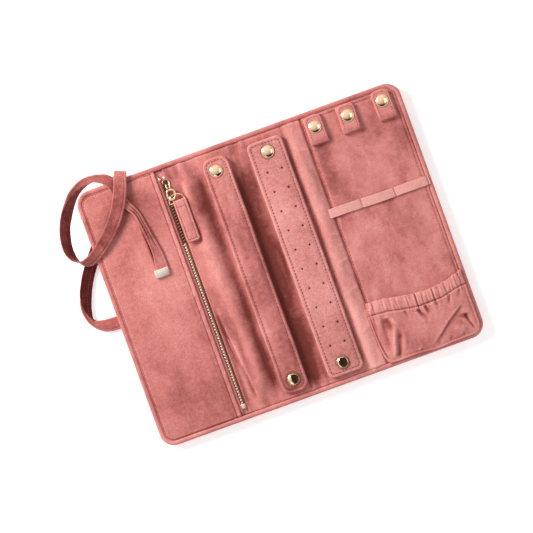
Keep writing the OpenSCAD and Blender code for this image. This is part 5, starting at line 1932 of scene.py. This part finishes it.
# the short turn at the sewn end is left unattached, the rest of the loop stays stiff
turn_row = next(i for i, row in enumerate(loop_rows) if row[1] < 104.0)
turn = keep_rows(whole_loop, "tie_loop_turn_velvet", 0, turn_row)
loop_ob = keep_rows(whole_loop, "tie_loop_velvet", turn_row, len(loop_rows))
bpy.data.objects.remove(whole_loop)
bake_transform(turn)
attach(loop_ob, "tie_loop")
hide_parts("tie_ribbon_loop")

half_widths = loop_widths[:, None] / 2
loop_stitches = [
    ribbon_stitches(name, loop_centres, loop_axes, offset, height, seed, rows,
                    pitch=2.4, length=1.7, radius=0.22)
    for name, offset, height, seed, rows in (
        ("tie_loop_stitches", half_widths - 2.0, 0.42, 71, (turn_row, BEND_ROW + 8)),
        ("tie_loop_stitches_inner", -half_widths * 0.385, -0.42, 72, (BEND_ROW, TURN_TO - 12)))]
for ob in loop_stitches:
    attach(ob, "tie_loop")

# ------------------------------------------------------------------ ribbon root
# Leaves the left edge, turns over as it curves upwards and runs behind the panel to the
# top edge. Each row is one edge (x, y, z), then the other edge (x, y, z).
ROOT_STATIONS = (
    (-120.0, 5.2, -.92, -120.0, -4.6, -.92), (-129.0, 5.5, -.92, -129.0, -4.9, -.92),
    (-138.0, 5.9, -.9, -137.4, -4.9, -.9), (-143.4, 6.0, -.7, -142.4, -4.8, -.6),
    (-148.3, 6.4, -.3, -149.8, -3.1, .3), (-152.7, 7.3, 0, -155.8, 1.0, 1.0),
    (-155.1, 8.9, .1, -159.4, 6.0, 1.6), (-155.7, 11.2, .1, -161.6, 11.8, 2.2),
    (-154.9, 15.8, 0, -162.5, 18.6, 2.7), (-153.0, 21.6, -.2, -161.6, 25.4, 2.9),
    (-150.4, 28.2, -.4, -159.4, 32.0, 2.8), (-147.4, 34.8, -.6, -156.1, 38.8, 2.4),
    (-143.3, 41.8, -.9, -152.4, 45.9, 1.7), (-139.4, 47.3, -.95, -148.7, 51.5, .7),
    (-135.0, 53.0, -.95, -144.4, 57.4, -.2), (-129.8, 60.6, -.95, -138.2, 65.2, -.75),
    (-123.9, 70.5, -.95, -131.7, 76.3, -.92), (-117.3, 79.7, -.95, -125.1, 85.5, -.93),
    (-111.1, 88.1, -.95, -118.9, 93.9, -.93), (-104.9, 95.9, -.95, -112.3, 101.9, -.93),
    (-100.2, 101.5, -.95, -106.9, 107.5, -.92),
)
ROOT_STEPS = 6
root_rows = spline(ROOT_STATIONS, ROOT_STEPS)
root_centres = (root_rows[:, :3] + root_rows[:, 3:6]) / 2
root_span = root_rows[:, 3:6] - root_rows[:, :3]
root_widths = np.linalg.norm(root_span, axis=1)
root_axes = ribbon_frame(root_centres, root_span, skew=True)
# x over y of the line where it turns over
turn_over_x = outline((8.4, 10.5, 13.4, 17.3, 23.5, 31.3),
                      (-155.9, -157.0, -158.5, -160.1, -160.9, -159.6))


# which faces take the shaded material: the inner side, and the velvet side past the painted
# turn-over line
def root_shaded_faces(i, o, velvet_side):
    x, y, _ = root_centres[i] + root_span[i] / 2 * o
    if y < 8.0 or not velvet_side:
        return 0.0 if velvet_side else 1.0
    if y > 31.3:
        return 1.0
    return float(smoothstep(0.5 + (x - turn_over_x(y)) / 1.1))


root = sweep("tie_root_velvet", root_centres, root_axes, root_widths, thickness=1.15,
             waver=0.05, seed=5.0)
# painted shade: the root a little darker, its shaded faces much darker
tone(root, len(root_rows), lambda i: -0.08 if root_centres[i][1] < 20 else -0.15,
     root_shaded_faces, depth=0.95)
root_stitches = ribbon_stitches(
    "tie_root_stitches", root_centres, root_axes, -root_widths[:, None] * 0.16, 0.50, 73,
    (ROOT_STEPS * 7 + 3, ROOT_STEPS * 15), radius=0.2)
root_face_stitches = ribbon_stitches(
    "tie_root_stitches_face", root_centres, root_axes, root_widths[:, None] / 2 - 2.0, 0.36, 74,
    (0, ROOT_STEPS * 6))

# the part behind the panel that turns up over the top edge: x, y, z, width
riser = spline(((-103.9, 101.4, -0.9, 9.6), (-101.2, 105.4, -0.9, 9.6),
                (-98.4, 109.4, -0.8, 9.4), (-96.3, 112.0, -0.2, 9.0),
                (-95.2, 113.1, 1.6, 8.8), (-95.0, 113.3, 3.9, 8.6)), 6)
riser_heading = np.radians(np.interp(np.arange(len(riser)), (0, 12, 20, len(riser) - 1),
                                     (52.0, 60.0, 67.0, 67.0)))
riser_axes = ribbon_frame(riser[:, :3], rolled(riser_heading, np.zeros(len(riser))))
riser_ob = sweep("tie_root_turn_velvet", riser[:, :3], riser_axes, riser[:, 3],
                 thickness=1.15, waver=0.03, seed=6.0)
for ob in (root, root_stitches, root_face_stitches, riser_ob):
    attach(ob, "left_panel")
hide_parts("tie_ribbon_root")

# ------------------------------------------------------------------ ribbon tail and clip
# two plies that end in the clip: x, y, z, roll in degrees, width
UPPER_PLY = spline((
    (-101.0, 91.4, 6.95, -4, 7.6), (-99.2, 86.6, 7.0, -8, 6.8), (-94.4, 78.0, 7.3, -12, 6.0),
    (-92.5, 68.9, 7.35, -12, 5.9), (-90.9, 57.5, 7.3, -10, 6.4), (-89.2, 43.7, 7.15, -6, 8.2),
    (-89.4, 33.4, 7.0, -3, 9.8), (-89.6, 28.4, 6.95, -2, 10.1)), 8)
LOWER_PLY = spline((
    (-95.0, 78.0, 6.3, 10, 2.6), (-93.6, 69.6, 6.2, 10, 4.2), (-93.4, 60.3, 6.2, 10, 4.8),
    (-92.6, 49.4, 6.25, 8, 5.6), (-92.2, 38.6, 6.35, 5, 6.4), (-91.8, 31.4, 6.5, 3, 6.6),
    (-91.6, 28.6, 6.6, 2, 6.4)), 8)
upper_axes = station_frame(UPPER_PLY)
upper = sweep("t1", UPPER_PLY[:, :3], upper_axes, UPPER_PLY[:, 4], thickness=1.0,
              waver=0.07, seed=7.0)
# the upper ply's inner side and the whole lower ply take the shaded material: painted shade
set_shaded_faces(upper, len(UPPER_PLY), lambda i, o, velvet_side: 0.0 if velvet_side else 1.0)
lower = sweep("t2", LOWER_PLY[:, :3], station_frame(LOWER_PLY), LOWER_PLY[:, 4],
              thickness=0.9, waver=0.05, seed=8.0)
set_shaded_faces(lower, len(LOWER_PLY), lambda i, o, velvet_side: 1.0)
tail = join("tie_tail_velvet", [upper, lower])
tail_stitches = ribbon_stitches(
    "tie_tail_stitches", UPPER_PLY[:, :3], upper_axes, 1.5 - UPPER_PLY[:, 4:5] / 2, 0.44, 75,
    (10, len(UPPER_PLY) - 8))
for ob in (tail, tail_stitches):
    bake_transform(ob)
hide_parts("tie_ribbon_tail")


def end_clip():
    """Bevelled block with a slightly sloping top."""
    low, high = node_box("tie_end_clip")
    width, length, height = high - low
    verts, faces = rounded_box((width, length, height + 0.3), bevel=0.42, segments=3)
    x, y, z = verts.T
    slope = np.where(z > 0, 0.5, 0.0) * (-0.13 * x + 0.10 * y)
    verts = np.stack([x, y, z + slope], -1)
    return copies("tie_end_clip_polished", (verts, faces), [(*(low + high) / 2, -0.02)],
                  GOLD_CLIP)


clip = end_clip()
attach(clip, "tie_tail")
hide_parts("tie_end_clip")


# ------------------------------------------------------------------ padding, middle panel
def padding():
    x0, x1, gap = -32.6, 35.6, 5.2
    x, y = soft_grid((x0, x1, BOTTOM + gap, TOP - gap), 4.0, (0, 0.4, 1.0))
    top = 4.0 + 0.05 * layered(NOISE_A, x / 9, y / 9, 2)
    top = top - edge_drop(np.clip(np.minimum(x - x0, x1 - x), 0, None), 0.6, 0.4)
    return slab("padding_foam", x, y, top, 3.0, FOAM)


pad = padding()
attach(pad, "center_panel")
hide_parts("center_padding")

# ------------------------------------------------------------------ what the panels carry
for ob in (cover_left, roll_left, lining_left):
    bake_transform(ob)
for ob in (cover_right, roll_right, lining_right):
    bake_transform(ob)
for ob in (flap, hem_stitches, groove_stitches):
    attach(ob, "left_panel")
for ob in (panel_stitches, seam_stitches):
    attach(ob, "right_panel")
for ob, body in zip(outer_stitches, ("left_panel", "right_panel", "center_panel",
                                     "center_panel")):
    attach(ob, body)
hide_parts("left_cover", "center_cover")
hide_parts("right_cover")
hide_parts("left_edge_roll", "center_edge_roll")
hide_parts("right_edge_roll")
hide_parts("left_spine_lining", "center_lining")
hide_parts("right_lining")
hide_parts("zip_pocket_flap")
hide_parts("necklace_tab_bases")

# finishes of the CAD pieces that stay
FINISHES = (
    (CARD, ("center_board", "left_board", "right_board")),
    (SUEDE, ("zip_pocket_back",)),
    (TAPE, ("zip_tape_left", "zip_tape_right")),
    (GOLD_ZIP, ("anchor_snap_sockets", "strap_snap_studs", "ring_strap_snap_socket",
                "earring_strap_snap_socket", "tab_snap_socket_1", "tab_snap_socket_2",
                "tab_snap_socket_3", "necklace_tab_studs")),
)
for mat, nodes in FINISHES:
    for node in nodes:
        materials = frame["nodes"][node].data.materials
        materials.clear()
        materials.append(mat)

SLOTS = {
    "outer_velvet": (cover_left, cover_right, roll_left, roll_right),
    "lining_velvet": (lining_left, lining_right, flap, ring_ob, puller, pocket, *tab_strips),
    "pale_suede": (ear_ob,),
    "ribbon": (turn, loop_ob, root, riser_ob, tail),
    "woven_elastic": (band, band_end),
    "thread": (hem_stitches, groove_stitches, panel_stitches, seam_stitches, ring_stitches,
               ear_stitches, *pocket_stitches, puller_stitches, tacks, *loop_stitches,
               root_stitches, root_face_stitches, tail_stitches),
    "foam": (pad,),
    "gold": tuple(ob for ob in bpy.data.objects if "_cap_" in ob.name and ob.type == "MESH"
                  and ob.name not in frame["nodes"]),
}
for slot, obs in SLOTS.items():
    for ob in obs:
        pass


# ------------------------------------------------------------------ floor and camera, metres
def studio_floor():
    bpy.ops.mesh.primitive_plane_add(size=4, location=(0, 0, -0.0026))
    floor = bpy.context.object
    floor.name = "studio_floor"
    g = Shader("floor_white")
    cloud = g.remap(g.noise(scale=2.0), source=(0.3, 0.7), target=(0, 1))
    floor.data.materials.append(g.finish(
        Base_Color=g.mix(cloud, (0.93, 0.93, 0.935), (0.95, 0.95, 0.95)), Roughness=0.9,
        Specular_IOR_Level=0.1, Emission_Color=(1, 1, 1), Emission_Strength=0.42))


studio_floor()

VIEW_TURN = math.radians(19.9)          # the case lies turned in the view
VIEW_WIDTH = 0.4264                     # width in view below the camera
VIEW_RIGHT = Vector((math.cos(VIEW_TURN), -math.sin(VIEW_TURN), 0))
VIEW_UP = Vector((math.sin(VIEW_TURN), math.cos(VIEW_TURN), 0))


def add_camera():
    """Looks straight down at a point a little left of and below the middle."""
    data = bpy.data.cameras.new("cam")
    data.lens, data.sensor_width, data.clip_end = 120, 36, 20
    camera = bpy.data.objects.new("cam", data)
    bpy.context.scene.collection.objects.link(camera)
    right, up = VIEW_RIGHT, VIEW_UP
    centre = -right * 10.96 * MM - up * 1.68 * MM
    distance = VIEW_WIDTH / 0.3         # 0.3 is sensor width over focal length
    camera.matrix_world = Matrix(((right.x, up.x, 0, centre.x), (right.y, up.y, 0, centre.y),
                                  (0, 0, 1, distance + 0.005), (0, 0, 0, 1)))
    bpy.context.scene.camera = camera


add_camera()


# ------------------------------------------------------------------ lights
def area_light(name, place, size, energy, colour):
    """place is (right, up, height) as the camera sees it; the lamp faces the case."""
    data = bpy.data.lights.new(name, "AREA")
    data.shape, data.size, data.size_y = "RECTANGLE", size[0], size[1]
    data.energy, data.color = energy, colour
    lamp = bpy.data.objects.new(name, data)
    bpy.context.scene.collection.objects.link(lamp)
    position = VIEW_RIGHT * place[0] + VIEW_UP * place[1] + Vector((0, 0, place[2]))
    lamp.location = position
    lamp.rotation_euler = (-position).normalized().to_track_quat("-Z", "Y").to_euler()


area_light("key", place=(-1.0, 0.42, 0.62), size=(0.45, 0.45), energy=19.0,
           colour=(1.0, 0.975, 0.95))
area_light("fill", place=(0.9, 0.3, 1.0), size=(0.9, 0.9), energy=3.2,
           colour=(0.97, 0.98, 1.0))
area_light("low", place=(-0.2, -1.0, 0.9), size=(0.9, 0.6), energy=2.0,
           colour=(1.0, 1.0, 1.0))


def dark_card():
    """A low card that only shows in the polished metal, over the lower end of the case."""
    bpy.ops.mesh.primitive_plane_add(size=1)
    ob = bpy.context.object
    ob.name = "studio_dark_card"
    ob.matrix_world = (Matrix.Translation((0.0515, -0.1025, 0.10))
                       @ Matrix.Diagonal((0.200, 0.295, 1, 1)))
    g = Shader("card_dark")
    cloud = g.remap(g.noise(scale=6.0), source=(0.3, 0.7), target=(0, 1))
    ob.data.materials.append(g.finish(
        Base_Color=g.mix(cloud, (0.020, 0.009, 0.005), (0.030, 0.014, 0.008)), Roughness=0.95))
    ob.visible_camera = ob.visible_diffuse = False
    ob.visible_shadow = ob.visible_transmission = False


dark_card()


def studio_world():
    """Even dim light, but reflections see a bright tent at the upper left."""
    world = bpy.data.worlds.new("studio")
    bpy.context.scene.world = world
    world.use_nodes = True
    nodes, link = world.node_tree.nodes, world.node_tree.links.new
    nodes.clear()
    output = nodes.new("ShaderNodeOutputWorld")
    light_path = nodes.new("ShaderNodeLightPath")
    ambient = nodes.new("ShaderNodeBackground")
    reflected = nodes.new("ShaderNodeBackground")
    ambient.inputs["Color"].default_value = (1.0, 0.99, 0.98, 1)
    ambient.inputs["Strength"].default_value = 0.34
    direction = nodes.new("ShaderNodeTexCoord")
    facing = nodes.new("ShaderNodeVectorMath")
    facing.operation = "DOT_PRODUCT"
    link(direction.outputs["Generated"], facing.inputs[0])
    tent = (-VIEW_RIGHT * 0.55 + VIEW_UP * 0.62 + Vector((0, 0, 0.55))).normalized()
    facing.inputs[1].default_value = tent
    brightness = nodes.new("ShaderNodeMapRange")
    brightness.interpolation_type = "SMOOTHSTEP"
    link(facing.outputs["Value"], brightness.inputs["Value"])
    for key, value in (("From Min", 0.05), ("From Max", 0.93), ("To Min", 0.36),
                       ("To Max", 1.14)):
        brightness.inputs[key].default_value = value
    reflected.inputs["Color"].default_value = (1.0, 0.965, 0.94, 1)
    link(brightness.outputs[0], reflected.inputs["Strength"])
    mix = nodes.new("ShaderNodeMixShader")
    link(light_path.outputs["Is Glossy Ray"], mix.inputs[0])
    link(ambient.outputs[0], mix.inputs[1])
    link(reflected.outputs[0], mix.inputs[2])
    link(mix.outputs[0], output.inputs[0])


studio_world()
bpy.context.scene.view_settings.view_transform = "Standard"
bpy.context.scene.view_settings.look = "None"
